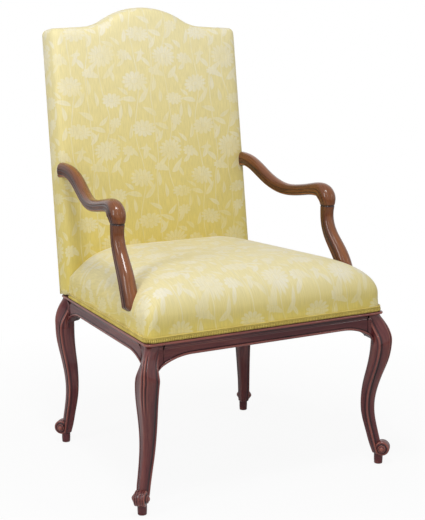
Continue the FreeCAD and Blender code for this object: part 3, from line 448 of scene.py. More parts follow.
# %% Moulding
def corner(px, py, ay):
    """Plan of one left-hand corner: its point, both rail directions and their inward normals."""
    side = np.array([REAR_WIDTH / 2 - FRONT_WIDTH / 2, FRAME_DEPTH])
    side = side / np.linalg.norm(side)
    inward = np.array([-side[1], side[0]])
    return {"p": np.array([px, py]), "a": np.array([-1.0, 0.0]), "na": np.array([0.0, ay]),
            "b": side * ay, "nb": inward, "sy": ay}


FRONT = corner(FRONT_WIDTH / 2, FRONT_Y, 1.0)
REAR = corner(REAR_WIDTH / 2, REAR_Y, -1.0)


def moulding(inner, low, top):
    """The section as (inset, z, carve), from the hidden inner foot over the rebate and down the face."""
    r = BEAD / 2
    pts = [(inner, low, -0.6), (inner, top, -0.6), (min(inner, REBATE_INSET), top, -0.6),
           (min(inner, REBATE_INSET), RAIL_TOP, -0.6), (r + 2.0, RAIL_TOP, -0.2)]
    for k in range(9):
        a = math.pi / 2 + math.pi * k / 8
        pts.append((r + r * math.cos(a), RAIL_TOP - r + r * math.sin(a), 0.9 - abs(k - 4) * 0.28))
    for k in range(1, 7):
        a = math.pi / 2 * k / 6
        hollow = -0.9 if k < 3 else -0.4
        pts.append((r + (FRIEZE_INSET - r) * math.sin(a), RAIL_TOP - BEAD - COVE * (1 - math.cos(a)), hollow))
    # A fine groove runs under the cove, and another above the lower bead
    face, fillet, lb = FRIEZE_INSET, RAIL_TOP - BEAD - COVE, LOWER_BEAD
    pts += [(face, fillet - 2.2, 0.5), (face + 1.4, fillet - 3.2, -1.0),
            (face + 0.2, fillet - 4.2, 0.3), (face, fillet - 6.0, 0.05),
            (face, low + 2 * lb + 3.0, 0.05), (face, low + 2 * lb + 0.6, -0.7),
            (face + 0.9, low + 2 * lb, -1.0)]
    for k in range(8):
        a = math.pi / 2 + math.pi * (k + 0.5) / 8
        pts.append((face + 0.4 + lb * math.cos(a), low + lb + lb * math.sin(a), 0.8 - abs(k - 3.5) * 0.25))
    pts.append((face + 0.4, low, 0.0))
    return pts


def carry_moulding(stations):
    """Skin over sections; a station is (origin, inward, inner, low, run), run being below 0 in a corner."""
    rings, carve, grain = [], [], []
    for origin, inward, inner, low, run in stations:
        section = moulding(inner, low, REBATE_TOP if run >= 0 else REBATE_TOP - CORNER_EASE)
        rings.append([(origin[0] + inward[0] * i, origin[1] + inward[1] * i, z) for i, z, c in section])
        carve += [c for i, z, c in section]
        grain += [(i, z, run) for i, z, c in section]
    verts, faces = skin(rings)
    return verts, faces, carve + [-0.5, -0.5], grain + [grain[0], grain[-1]]


print("moulding section", len(moulding(REBATE_INSET + RAIL_THICKNESS, RAIL_BOTTOM, REBATE_TOP)), "points")


# %% Rail and head shells
def underside(s, length):
    """Height of a rail's lower edge at s along its bead line."""
    s = min(s, length - s)
    radius = (UNDERSIDE_RUN ** 2 + UNDERSIDE_DROP ** 2) / (2 * UNDERSIDE_DROP)
    x = HEAD_LENGTH + UNDERSIDE_RUN - s
    return RAIL_BOTTOM if x <= 0 else RAIL_BOTTOM - radius + math.sqrt(max(0.0, radius ** 2 - x ** 2))


def rail_shell(start, along, inward, length):
    """A rail between its two leg heads."""
    ends = np.linspace(HEAD_LENGTH, HEAD_LENGTH + UNDERSIDE_RUN, 22)
    middle = np.linspace(HEAD_LENGTH + UNDERSIDE_RUN, length - HEAD_LENGTH - UNDERSIDE_RUN, 20)[1:-1]
    runs = list(ends) + list(middle) + [length - s for s in reversed(ends)]
    inner = REBATE_INSET + RAIL_THICKNESS
    return carry_moulding([(start + along * s, inward, inner, underside(s, length), s) for s in runs])


def bracket(s):
    """Height of a leg head's underside at s along the bead line from the corner."""
    low = RAIL_BOTTOM - UNDERSIDE_DROP
    radius = (UNDERSIDE_RUN ** 2 + UNDERSIDE_DROP ** 2) / (2 * UNDERSIDE_DROP)
    start = math.asin(UNDERSIDE_RUN / radius)
    x = (HEAD_LENGTH - s) / BRACKET_RADIUS + math.sin(start)
    if x >= 1.0:
        return BRACKET_FOOT
    return max(BRACKET_FOOT, low - BRACKET_RADIUS * (math.cos(start) - math.sqrt(1 - x * x)))


def head_shell(c):
    """The moulding carried round the corner of the frame, as the top of a leg."""
    # The corner's arc has its hub where the two bead lines, moved inwards by the radius, meet
    cross = c["a"][0] * c["b"][1] - c["a"][1] * c["b"][0]
    d = (c["nb"] - c["na"]) * CORNER_RADIUS
    run_a = (d[0] * c["b"][1] - d[1] * c["b"][0]) / cross
    hub = c["p"] + c["a"] * run_a + c["na"] * CORNER_RADIUS
    run_b = float((hub - c["p"]) @ c["b"])
    inner, near = REBATE_INSET + RAIL_THICKNESS, CORNER_RADIUS - 0.1
    stations = []
    for s in np.linspace(HEAD_LENGTH, run_a, 15):
        stations.append((c["p"] + c["a"] * s, c["na"], inner if s > inner else near, bracket(s), s))
    for k in range(1, 14):
        n = c["na"] * (1 - k / 14) + c["nb"] * (k / 14)
        n = n / np.linalg.norm(n)
        stations.append((hub - n * CORNER_RADIUS, n, near, BRACKET_FOOT, -k * 1.5))
    for s in np.linspace(run_b, HEAD_LENGTH, 15):
        stations.append((c["p"] + c["b"] * s, c["nb"], inner if s > inner else near, bracket(s), s))
    return carry_moulding(stations)


print("underside at a leg head", round(underside(HEAD_LENGTH, FRONT_WIDTH), 1), "mm above the floor")

# %% Rails
front_start = np.array([-FRONT_WIDTH / 2, FRONT_Y])
rear_start = np.array([-REAR_WIDTH / 2, REAR_Y])
leftward = np.array([1.0, 0.0])
SIDE_LENGTH = float(np.linalg.norm(np.array([REAR_WIDTH / 2 - FRONT_WIDTH / 2, FRAME_DEPTH])))
side_shell = rail_shell(FRONT["p"], FRONT["b"], FRONT["nb"], SIDE_LENGTH)
rails = {"front_rail": (rail_shell(front_start, leftward, np.array([0.0, 1.0]), FRONT_WIDTH), False),
         "back_rail": (rail_shell(rear_start, leftward, np.array([0.0, -1.0]), REAR_WIDTH), False),
         "side_rail_left": (side_shell, False),
         "side_rail_right": (side_shell, True)}
for node, (shell, mirror) in rails.items():
    piece = make_piece("moulded_" + node, *shell, mirror=mirror)
    piece.data.materials.append(show_wood)
    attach(piece, "root")
    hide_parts(node)
print("rails", len(rails), "side length", round(SIDE_LENGTH, 1), "mm")

# %% [markdown]
# ## Cabriole legs
# A cabriole leg swells at the knee, draws in at the ankle and ends in a scroll. It is sawn square and then
# carved: a bead and a fine groove run down each side corner, and flutes open over the knee. We give a few
# stations down the leg, draw a smooth curve through them, and lay a detailed section at every few millimetres.

# %% Leg shaft
# Each station has its height, its centre's place outwards, its side, and its outer and inner corner radius
LEG = [(373.0, -39.0, 40.0, 12.0, 10.0), (362.0, -31.0, 41.0, 12.0, 10.0), (350.0, -22.5, 41.6, 12.5, 10.0),
       (327.0, -11.4, 41.6, 13.0, 10.0), (304.0, -8.8, 41.6, 13.0, 11.0), (272.0, -12.6, 39.8, 12.0, 10.0),
       (238.0, -21.0, 36.6, 11.0, 9.5), (202.0, -31.2, 33.0, 10.0, 8.5), (164.0, -37.8, 29.6, 9.5, 8.0),
       (124.0, -37.0, 27.0, 8.0, 6.0), (84.0, -28.4, 25.0, 7.0, 5.5), (52.0, -20.2, 24.0, 7.0, 5.5),
       (26.0, -12.5, 21.0, 6.5, 5.0)]
LEG_KNEE_Z, LEG_SPLAY_RUN = 300.0, 240.0
LEG_SPLAY = {"front": 15.5, "rear": 10.0}
LEG_BOW_REAR, LEG_BOW_RUN, LEG_DRAW_REAR, LEG_DRAW_LINE = 7.0, 283.0, 0.72, -12.0
KNEE_FLUTE, KNEE_SINK, LEG_STEPS = 1.6, 9.5, 96
# Where the flutes open and close, and where the knee's faces start to fall back, going up
FLUTE_FOOT, FLUTE_RISE, FLUTE_TOP, FLUTE_FADE = 215, 60, 366, 30
FAIR_FROM, FAIR_RUN = 296, 64


def leg_outline(side, outer_r, inner_r, flute):
    """Section of the leg as (x, y, carve): rounded outer corner with flutes, beads at the side corners."""
    h = side / 2
    k = min(1.0, side / 24.0)
    pts = []
    for j in range(25):
        a = -math.pi / 2 * j / 24
        e = (j - 12) / 12
        lift = math.exp(-(e / 0.17) ** 2) - math.exp(-((abs(e) - 0.40) / 0.13) ** 2)
        lift += 0.5 * math.exp(-((abs(e) - 0.78) / 0.15) ** 2)
        r = outer_r + lift * flute
        proud = 0.25 + lift * min(1.0, flute)
        pts.append((h - outer_r + r * math.cos(a), -h + outer_r + r * math.sin(a), proud))
    bead = 3.3 * k
    side_line = [(-h + 11.5 * k, -h, 0.1), (-h + 8.9 * k, -h + 0.1 * k, -0.5),
                 (-h + 7.6 * k, -h + 1.7 * k, -1.0), (-h + 6.4 * k, -h + 0.9 * k, -0.4)]
    for j in range(9):
        a = math.radians(-62 - 118 * j / 8)
        crest = 0.9 - abs(j - 4) * 0.2
        side_line.append((-h + bead + bead * math.cos(a), -h + bead + bead * math.sin(a), crest))
    side_line += [(-h + 0.9 * k, -h + 6.6 * k, -0.7), (-h + 0.3 * k, -h + 8.2 * k, -0.3),
                  (-h, -h + 10.5 * k, 0.1)]
    pts += side_line
    for j in range(7):
        a = math.pi - math.pi / 2 * j / 6
        pts.append((-h + inner_r + inner_r * math.cos(a), h - inner_r + inner_r * math.sin(a), 0.2))
    pts += [(-y, -x, c) for x, y, c in reversed(side_line)]
    return pts


def leg_shaft(c, which):
    """Shaft of a left-hand leg from the bead of the frame down to its scroll."""
    rings, carve, grain = [], [], []
    sy = c["sy"]
    for z, out, side, outer_r, inner_r in smooth(LEG, LEG_STEPS):
        drop = max(0.0, LEG_KNEE_Z - z)
        drift = LEG_SPLAY[which] * min(1.0, drop / LEG_SPLAY_RUN) ** 0.8
        if which == "rear":
            drift += LEG_BOW_REAR * math.sin(math.pi * min(1.0, drop / LEG_BOW_RUN))
            out = LEG_DRAW_LINE + (out - LEG_DRAW_LINE) * LEG_DRAW_REAR
        cx, cy = (out + drift) * O45, (drift - out) * O45
        flute = KNEE_FLUTE * ease((z - FLUTE_FOOT) / FLUTE_RISE) * ease((FLUTE_TOP - z) / FLUTE_FADE)
        section = leg_outline(side, outer_r, inner_r, flute)
        h, fair = side / 2, ease((z - FAIR_FROM) / FAIR_RUN)
        points = []
        for x, y, q in section:
            # Towards the rails the knee's two faces fall back to the frieze
            toward_x = min(1.0, max(0.0, (y + h) / side)) ** 1.4 * max(0.0, x / h)
            toward_y = min(1.0, max(0.0, (h - x) / side)) ** 1.4 * max(0.0, -y / h)
            back_x = (-KNEE_SINK - (cx + h)) * fair * toward_x
            back_y = (KNEE_SINK - (cy - h)) * fair * toward_y
            points.append((c["p"][0] + cx + x + back_x, c["p"][1] + (cy + y + back_y) * sy, z))
        rings.append(points)
        carve += [q for x, y, q in section]
        grain += [(x, y, z) for x, y, q in section]
    verts, faces = skin(rings)
    return verts, faces, carve + [0, 0], grain + [grain[0], grain[-1]]


print("leg section", len(leg_outline(40.0, 12.0, 10.0, 0.0)), "points")

# %% [markdown]
# The foot is a scroll seen from both sides: a roll across the leg, with a ring and a button standing out of each
# end like the eye of a volute, above a short turned peg. Both are turned about an axis, so an outline is enough.

# %% Scroll foot
SCROLL_RADIUS, SCROLL_WIDTH, SCROLL_HEIGHT, SCROLL_OUT = 17.6, 25.0, 39.5, -1.5
RING_RADIUS, RING_PROUD, BUTTON_RADIUS, BUTTON_PROUD = 9.5, 3.5, 6.5, 8.0
PEG_RADIUS, PEG_HEIGHT, PEG_OUT = 10.5, 34.0, -10.5
SCROLL_STEPS, PEG_STEPS = 48, 36


def turned(outline, centre, axis, steps):
    """A closed turning: outline is (along the axis, radius, carve), from one pole to the other."""
    axis = np.array(axis, dtype=float) / np.linalg.norm(axis)
    first = np.array([0.0, 0.0, 1.0]) if abs(axis[2]) < 0.9 else np.array([1.0, 0.0, 0.0])
    second = np.cross(axis, first)
    rings, carve, grain = [], [], []
    for w, r, q in outline:
        ring = []
        for k in range(steps):
            a = 2 * math.pi * k / steps
            ring.append(np.array(centre) + axis * w + (first * math.cos(a) + second * math.sin(a)) * r)
            grain.append((r * math.cos(a), w, r * math.sin(a) * 0.4))
            carve.append(q)
        rings.append(ring)
    verts, faces = skin(rings)
    return verts, faces, carve + [carve[0], carve[-1]], grain + [grain[0], grain[-1]]


def scroll_outline():
    """Outline of the scroll from one button, over the ring and the grooved roll, to the other."""
    w, r = SCROLL_WIDTH / 2, SCROLL_RADIUS
    button, ring = w + BUTTON_PROUD, w + RING_PROUD
    half = [(button, 0.6, 0.9), (button - 0.3, 2.4, 0.8), (button - 1.2, 4.4, 0.6), (button - 2.8, 6.0, 0.2),
            (ring - 0.2, BUTTON_RADIUS, -1.0), (ring + 0.3, 7.2, 0.2), (ring + 0.5, 8.2, 0.7),
            (ring - 0.4, 9.3, 0.3), (w + 0.6, RING_RADIUS + 0.1, -0.8), (w - 0.4, 11.0, -1.0),
            (w + 0.2, 13.4, 0.1), (w - 0.1, r - 2.6, 0.6), (w - 1.1, r - 0.7, 0.7), (w - 2.8, r, 0.3),
            (w - 4.0, r - 0.9, -0.9), (w - 5.2, r - 0.1, 0.4), (w - 7.0, r + 0.3, 0.5),
            (w - 8.6, r - 0.6, -0.8), (w - 10.2, r + 0.1, 0.4)]
    return half + [(-a, b, q) for a, b, q in reversed(half)]


def foot_shells(c, which):
    """Scroll and peg under a left-hand leg."""
    splay, sy = LEG_SPLAY[which], c["sy"]
    cx, cy = (SCROLL_OUT + splay) * O45, (splay - SCROLL_OUT) * O45
    eye = (c["p"][0] + cx, c["p"][1] + cy * sy, SCROLL_HEIGHT)
    scroll = turned(scroll_outline(), eye, (1, sy, 0), SCROLL_STEPS)
    px, py = (PEG_OUT + splay) * O45, (splay - PEG_OUT) * O45
    r, top = PEG_RADIUS, PEG_HEIGHT
    peg_line = [(0.0, 0.5, -0.4), (0.0, r - 2.2, -0.4), (0.5, r - 1.0, 0.0), (1.8, r - 0.5, 0.3),
                (10.0, r, 0.1), (top - 6, r + 0.3, -0.2), (top, r, -0.6), (top + 1, 2.0, -0.6)]
    peg = turned(peg_line, (c["p"][0] + px, c["p"][1] + py * sy, 0.0), (0, 0, 1), PEG_STEPS)
    return [scroll, peg]


print("scroll outline", len(scroll_outline()), "points")

# %% [markdown]
# A rear leg runs on upwards as the stile of the raked back, inside the upholstery, so its piece gets that too.

# %% Frame of the back
RAKE = math.radians(7.6)
BACK_HALF, BACK_FOOT, BACK_REAR_Y, BACK_REAR_LEVEL, BACK_THICKNESS = 264.0, 382.0, 243.0, 390.0, 56.0
BACK_UP = np.array([0.0, math.sin(RAKE), math.cos(RAKE)])
BACK_IN = np.array([0.0, math.cos(RAKE), -math.sin(RAKE)])
BACK_ORIGIN = np.array([0.0, BACK_REAR_Y, BACK_REAR_LEVEL]) - BACK_IN * BACK_THICKNESS
STILE_INNER, STILE_OUTER, STILE_FRONT, STILE_REAR = 227.2, 261.2, 23.7, 53.7
STILE_FROM, STILE_TO = 416.0, 934.0


def back_v(z):
    """Distance up the raked back at a height above the floor."""
    return (z - BACK_REAR_LEVEL - BACK_THICKNESS / 2 * math.sin(RAKE)) / math.cos(RAKE)


def back_at(u, v, w):
    """A point of the back from its places across, up along the rake, and back from its front plane."""
    return BACK_ORIGIN + np.array([u, 0.0, 0.0]) + BACK_UP * v + BACK_IN * w


def stile_shell():
    """The stile that a rear leg carries inside the back."""
    section = [(STILE_INNER, STILE_FRONT), (STILE_OUTER, STILE_FRONT),
               (STILE_OUTER, STILE_REAR), (STILE_INNER, STILE_REAR)]
    rings = [[back_at(u, back_v(z), w) for u, w in section] for z in (STILE_FROM, STILE_TO)]
    verts, faces = skin(rings)
    return verts, faces, [0.0] * len(verts), verts


print("back origin", BACK_ORIGIN.round(1))

# %% Legs
for which, c in (("front", FRONT), ("rear", REAR)):
    shells = [head_shell(c), leg_shaft(c, which)] + foot_shells(c, which)
    node = "front_leg" if which == "front" else "rear_post"
    if which == "rear":
        shells.append(stile_shell())
    for side, mirror in (("left", False), ("right", True)):
        piece = make_piece("carved_" + node + "_" + side, *gather(shells), mirror=mirror)
        piece.data.materials.append(show_wood)
        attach(piece, "root")
        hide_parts(node + "_" + side)
print("legs: 4, with", sum(len(s[0]) for s in shells), "points each")

# %% [markdown]
# ## Serpentine arms and their supports
# Each arm is cut from one board: it drops from the back in an S, levels out, and turns down over a rolled
# knuckle. The support stands under the knuckle, leans forward in a hollow curve and dies into the seat's edge.
# Both are moulded with a bead low on each side and polished round on top.

# %% Arms
ARM_Z, ARM_JOINT_Z, ARM_GAP = 692.0, 609.0, 0.6
SEAM_DEPTH, SEAM_HALF, ARM_STEPS, SUPPORT_STEPS = 1.6, 1.6, 110, 70
# Each station has its place across, along and up, its downward heading in degrees, its width and its height
ARM = [(259.0, 0.0, 0.0, -7.6, 32.0, 38.0), (257.0, -20.0, 0.5, 2.0, 30.0, 34.0),
       (256.0, -48.0, -4.0, 16.0, 30.0, 32.0), (257.0, -84.0, -19.0, 29.0, 30.5, 31.0),
       (261.0, -123.0, -40.0, 28.0, 30.5, 30.0), (267.0, -163.0, -55.0, 14.0, 30.0, 29.0),
       (272.0, -200.0, -60.0, 1.0, 29.5, 28.5), (276.0, -240.0, -57.0, -8.0, 29.5, 28.5),
       (279.0, -275.0, -51.5, -9.0, 30.0, 29.0), (281.0, -303.0, -47.5, -2.0, 32.0, 32.0),
       (283.0, -329.0, -48.0, 26.0, 36.0, 37.0), (284.0, -344.5, -58.5, 60.0, 39.0, 40.0),
       (284.0, -350.5, -71.0, 82.0, 36.0, 36.0), (284.0, -351.0, ARM_JOINT_Z - ARM_Z, 90.0, 31.0, 32.0)]
SUPPORT = [(284.0, 192.0, ARM_JOINT_Z, 90.0, 31.0, 32.0), (284.0, 194.0, 590.0, 92.0, 29.0, 29.5),
           (284.0, 190.5, 567.0, 76.0, 29.5, 30.0), (284.5, 179.0, 543.0, 60.0, 31.0, 32.0),
           (286.5, 161.0, 519.0, 53.0, 33.0, 35.0), (289.0, 142.0, 494.0, 58.0, 34.5, 37.0),
           (290.5, 128.0, 468.0, 66.0, 35.0, 38.0), (290.0, 119.5, 445.0, 70.0, 36.5, 40.0),
           (289.0, 116.0, 435.0, 78.0, 35.0, 39.0), (284.5, 113.5, 425.0, 86.0, 22.0, 35.0),
           (283.5, 113.0, 415.3, 90.0, 18.0, 32.0)]
# One half of the section, as shares of half the width and half the height, and how proud each point is
ARM_SECTION = [(0.0, -0.97, 0.1), (0.35, -0.96, 0.1), (0.62, -0.93, 0.2), (0.80, -0.87, 0.3),
               (0.92, -0.77, 0.9), (0.975, -0.66, 0.9), (0.97, -0.56, 0.3), (0.925, -0.50, -1.0),
               (0.965, -0.44, 0.0), (0.985, -0.30, 0.3), (0.99, -0.14, 0.2), (0.985, 0.04, 0.0),
               (0.945, 0.10, -1.0), (0.965, 0.17, 0.3), (0.93, 0.36, 0.3), (0.84, 0.57, 0.4),
               (0.66, 0.78, 0.5), (0.42, 0.91, 0.6), (0.16, 0.975, 0.8), (0.0, 0.985, 0.9)]


def arm_shell(stations, count, y0, z0, grain_from):
    """A moulded limb along its stations, eased in a little where arm and support meet."""
    outline = ARM_SECTION + [(-x, y, q) for x, y, q in reversed(ARM_SECTION[1:-1])]
    rings, carve, grain = [], [], []
    run, before = grain_from, None
    for u, y, z, heading, width, height in smooth(stations, count):
        a = math.radians(heading)
        up = np.array([0.0, -math.sin(a), math.cos(a)])
        at = np.array([u, y0 + y, z0 + z])
        run += 0.0 if before is None else float(np.linalg.norm(at - before))
        before = at
        seam = math.exp(-((at[2] - ARM_JOINT_Z) / SEAM_HALF) ** 2)
        width, height = width - SEAM_DEPTH * seam, height - SEAM_DEPTH * seam
        rings.append([at + np.array([x * width / 2, 0.0, 0.0]) + up * (q * height / 2) for x, q, k in outline])
        carve += [k * (1 - seam) - seam for x, q, k in outline]
        grain += [(x * width / 2, q * height / 2, run) for x, q, k in outline]
    verts, faces = skin(rings)
    return verts, faces, carve + [0, 0], grain + [grain[0], grain[-1]]


ARM_REAR = back_at(0.0, (ARM_Z - BACK_ORIGIN[2]) / math.cos(RAKE), 0.0)
arm = arm_shell(ARM, ARM_STEPS, ARM_REAR[1] - ARM_GAP, ARM_Z, 0.0)
support = arm_shell(SUPPORT, SUPPORT_STEPS, FRONT_Y, 0.0, 500.0)
limbs = [("serpentine_arm_", arm, "arm_"), ("moulded_arm_support_", support, "arm_support_")]
for side, mirror in (("left", False), ("right", True)):
    for name, shell, node in limbs:
        piece = make_piece(name + side, *shell, mirror=mirror)
        piece.data.materials.append(rubbed_wood)
        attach(piece, "root")
        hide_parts(node + side)
print("arms and supports made, rear end of the arm at y", round(float(ARM_REAR[1]), 1))

# %% [markdown]
# ## Upholstery
# The seat and the back are stuffed pads under a tight cover. Each starts as the plain padded form, a little
# slack, is remeshed to an even grid, and is blown up gently by the cloth solver, held within a few millimetres.
# The cover's own coordinates are then worked out on the mesh, so that the damask wraps over the edges.

# %% Seat form
SEAT_INSET, SEAT_BORDER_TOP, SEAT_CROWN, SEAT_REACH = 3.5, 422.0, 84.0, 205.0
SEAT_CORNER_RADIUS, SEAT_ROLL, SEAT_PEAK_RUN = 20.0, 2.3, 170.0
SEAT_FOOT_Z = RAIL_TOP + 0.4


def side_half(y, inset):
    """Half the seat's width at y, inside the side rails' bead line."""
    bead = FRONT_WIDTH / 2 + (REAR_WIDTH - FRONT_WIDTH) / 2 * (y - FRONT_Y) / FRAME_DEPTH
    return bead - inset / FRONT["b"][1]


def seat_outline(z, inset, rear_y, steps=10):
    """The seat's plan at one height: front edge, rounded front corners, tapering sides and rear edge."""
    yf = FRONT_Y + inset
    xf, xr = side_half(yf, inset), side_half(rear_y, inset)
    r = SEAT_CORNER_RADIUS + (inset - SEAT_INSET) * 0.22
    lean = math.atan2(xf - xr, rear_y - yf)
    cx, cy = xf - r / math.tan((math.pi / 2 - lean) / 2), yf + r
    pts = [(cx * k / 6, yf) for k in range(6)]
    for k in range(steps + 1):
        a = -math.pi / 2 + (math.pi / 2 + lean) * k / steps
        pts.append((cx + r * math.cos(a), cy + r * math.sin(a)))
    last = pts[-1]
    pts += [(last[0] + (xr - last[0]) * k / 8, last[1] + (rear_y - last[1]) * k / 8) for k in range(1, 9)]
    pts += [(xr * (1 - k / 6), rear_y) for k in range(1, 7)]
    ring = pts + [(-x, y) for x, y in reversed(pts[1:-1])]
    return [(x, y, z) for x, y in ring]


def seat_rings(rear_y):
    """Plans of the seat from its foot up the border and over the dome."""
    rings = [seat_outline(SEAT_FOOT_Z, SEAT_INSET, rear_y), seat_outline(400.0, SEAT_INSET, rear_y)]
    for k in range(25):
        share = k / 24
        rise = 1 - (1 - share) ** SEAT_ROLL
        inset = SEAT_INSET + (SEAT_REACH - SEAT_INSET) * share ** 1.7
        rear = rear_y - max(0.0, share - 0.7) / 0.3 * SEAT_PEAK_RUN
        rings.append(seat_outline(SEAT_BORDER_TOP + SEAT_CROWN * rise, inset, rear))
    return rings


print("seat crown", SEAT_CROWN, "mm")

# %% Back form
BACK_CORNER_Z, BACK_PEAK_Z, HUMP_HALF, HUMP_RADIUS = 1032.0, 1084.0, 172.0, 205.0
BACK_CORNER_RADIUS, BACK_CROWN, BACK_EDGE_RADIUS, BACK_FLARE = 15.0, 5.0, 12.0, 5.0


def back_outline(w, inset, share, foot):
    """Outline of the back at one depth: square shoulders and a hump of arcs, shrunk to a share of itself."""
    vc, vp = back_v(BACK_CORNER_Z) + 4.0, back_v(BACK_PEAK_Z)
    rise = vp - vc
    total = (rise * rise + HUMP_HALF ** 2) / (2 * rise)
    r1, r2 = HUMP_RADIUS - inset, total - HUMP_RADIUS + inset
    half, top = BACK_HALF - inset, vc - inset
    rc = max(BACK_CORNER_RADIUS - inset, 4.0)
    c1, c2 = vp - HUMP_RADIUS, vc + total - HUMP_RADIUS
    lean = math.asin(HUMP_HALF / total)
    middle = (foot + vp) / 2
    line = [(half * k / 5, foot) for k in range(5)]
    line += [(half, foot + (top - 4 - rc - foot) * k / 12) for k in range(12)]
    for k in range(7):
        a = math.pi / 12 * k
        line.append((half - rc + rc * math.cos(a), top - 4.0 - rc + rc * math.sin(a)))
    for k in range(13):
        a = lean * k / 12
        line.append((HUMP_HALF - r2 * math.sin(a), c2 - r2 * math.cos(a)))
    for k in range(1, 13):
        a = lean * (1 - k / 12)
        line.append((r1 * math.sin(a), c1 + r1 * math.cos(a)))
    ring = line + [(-u, v) for u, v in reversed(line[1:-1])]
    flare = [1 + BACK_FLARE / BACK_HALF * min(1.0, max(0.0, (vc - v) / (vc - foot))) for u, v in ring]
    return [back_at(u * f * share, middle + (v - middle) * share, w) for (u, v), f in zip(ring, flare)]


def back_rings(start, foot):
    """Outlines of the back from its rear edge forwards, over the rounded edge and across the face."""
    rings = [back_outline(start, 0.0, 1.0, foot), back_outline(start * 0.6, 0.0, 1.0, foot)]
    for k in range(8):
        a = math.pi / 2 * k / 7
        depth, inset = BACK_EDGE_RADIUS * (1 - math.sin(a)), BACK_EDGE_RADIUS * (1 - math.cos(a))
        rings.append(back_outline(depth, inset, 1.0, foot))
    for k in range(1, 14):
        share = 1.0 - 0.07 * k
        rings.append(back_outline(-BACK_CROWN * (1 - share ** 2), BACK_EDGE_RADIUS, share, foot))
    return rings


print("back", BACK_THICKNESS, "mm thick")

# %% [markdown]
# The cloth solver swells each pad with a little pressure and no gravity. A cap keeps every point within a few
# millimetres of the built form, and the edges that are tacked to the frame hardly move.

# %% Cloth
GRID_MM, PRESSURE, STIFFNESS, SIM_FRAMES = 6.0, 4.0, 12.0, 20


def swell(obj, cap, held):
    """Remeshes a closed pad and swells it as cloth; points move up to the cap times held, which gives 0..1."""
    scene = bpy.context.scene
    remesh = obj.modifiers.new("grid", "REMESH")
    remesh.mode = "VOXEL"
    remesh.voxel_size = GRID_MM * 0.001
    bpy.context.view_layer.objects.active = obj
    obj.select_set(True)
    bpy.ops.object.modifier_apply(modifier=remesh.name)
    obj.select_set(False)
    mesh = obj.data
    rest = np.empty(len(mesh.vertices) * 3)
    mesh.vertices.foreach_get("co", rest)
    rest = rest.reshape(-1, 3)
    cloth = obj.modifiers.new("cloth", "CLOTH")
    cloth.settings.use_pressure = True
    cloth.settings.uniform_pressure_force = PRESSURE
    cloth.settings.effector_weights.gravity = 0.0
    cloth.settings.tension_stiffness = STIFFNESS
    cloth.settings.compression_stiffness = STIFFNESS
    cloth.settings.quality = 5
    cloth.point_cache.frame_start, cloth.point_cache.frame_end = 1, SIM_FRAMES
    for step in range(1, SIM_FRAMES + 1):
        scene.frame_set(step)
    graph = bpy.context.evaluated_depsgraph_get()
    soft = obj.evaluated_get(graph).data
    moved = np.empty(len(soft.vertices) * 3)
    soft.vertices.foreach_get("co", moved)
    moved = moved.reshape(-1, 3)
    obj.modifiers.remove(cloth)
    shift = moved - rest
    size = np.linalg.norm(shift, axis=1)
    limit = cap * 0.001 * held(rest)
    eased = limit * (1 - np.exp(-size / np.maximum(limit, 1e-9)))
    scale = np.where(size > 1e-9, eased / np.maximum(size, 1e-9), 0.0)
    mesh.vertices.foreach_set("co", (rest + shift * scale[:, None]).ravel())
    mesh.update()
    scene.frame_set(1)


print("cloth grid", GRID_MM, "mm,", SIM_FRAMES, "frames")


# %% Cloth finish
def relax(obj, rounds, keep):
    """Evens out the grid's small steps; keep gives 1 where points stay."""
    bm = bmesh.new()
    bm.from_mesh(obj.data)
    bm.verts.ensure_lookup_table()
    co = np.array([v.co[:] for v in bm.verts])
    edges = np.array([[e.verts[0].index, e.verts[1].index] for e in bm.edges])
    bm.free()
    stay = keep(co)[:, None]
    for _ in range(rounds):
        total = np.zeros_like(co)
        count = np.zeros(len(co))
        np.add.at(total, edges[:, 0], co[edges[:, 1]])
        np.add.at(total, edges[:, 1], co[edges[:, 0]])
        np.add.at(count, edges[:, 0], 1)
        np.add.at(count, edges[:, 1], 1)
        mean = total / count[:, None]
        co = co * stay + (co * 0.5 + mean * 0.5) * (1 - stay)
    obj.data.vertices.foreach_set("co", co.ravel())
    obj.data.update()


def lay_cloth(obj, rule, painted_top_light):
    """Writes the cover's own coordinates, in metres, and how much painted light pales it, from rules on points.
    """
    mesh = obj.data
    co = np.empty(len(mesh.vertices) * 3)
    mesh.vertices.foreach_get("co", co)
    uv = rule(co.reshape(-1, 3))
    blend = mesh.attributes.new("painted_top_light", "FLOAT", "POINT")
    blend.data.foreach_set("value", np.clip(painted_top_light(co.reshape(-1, 3)), 0.0, 1.0).astype(np.float32))
    layer = mesh.uv_layers.new(name="cloth")
    index = np.empty(len(mesh.loops), dtype=np.int32)
    mesh.loops.foreach_get("vertex_index", index)
    layer.data.foreach_set("uv", uv[index].astype(np.float32).ravel())


def subdivide(obj, levels):
    """Smooth subdivision by so many levels, applied."""
    mod = obj.modifiers.new("fine", "SUBSURF")
    mod.levels = mod.render_levels = levels
    bpy.context.view_layer.objects.active = obj
    bpy.ops.object.modifier_apply(modifier=mod.name)
    obj.data.shade_smooth()


print("cloth tools ready")

# %% Seat cushion
SEAT_REAR = float(BACK_ORIGIN[1]) + 14.0
SEAT_CAP = 5.0
CREASE_DROP, CREASE_RUN = 0.018, 0.022
verts, faces = skin(seat_rings(SEAT_REAR))
seat = make_piece("stuffed_seat", verts, faces)
# The foot of the border is tacked to the rails, so it stays
swell(seat, SEAT_CAP, lambda p: np.clip((p[:, 2] - 0.386) / 0.02, 0.0, 1.0))
relax(seat, 3, lambda p: (p[:, 2] < 0.384).astype(float))
co = np.array([v.co[:] for v in seat.data.vertices])
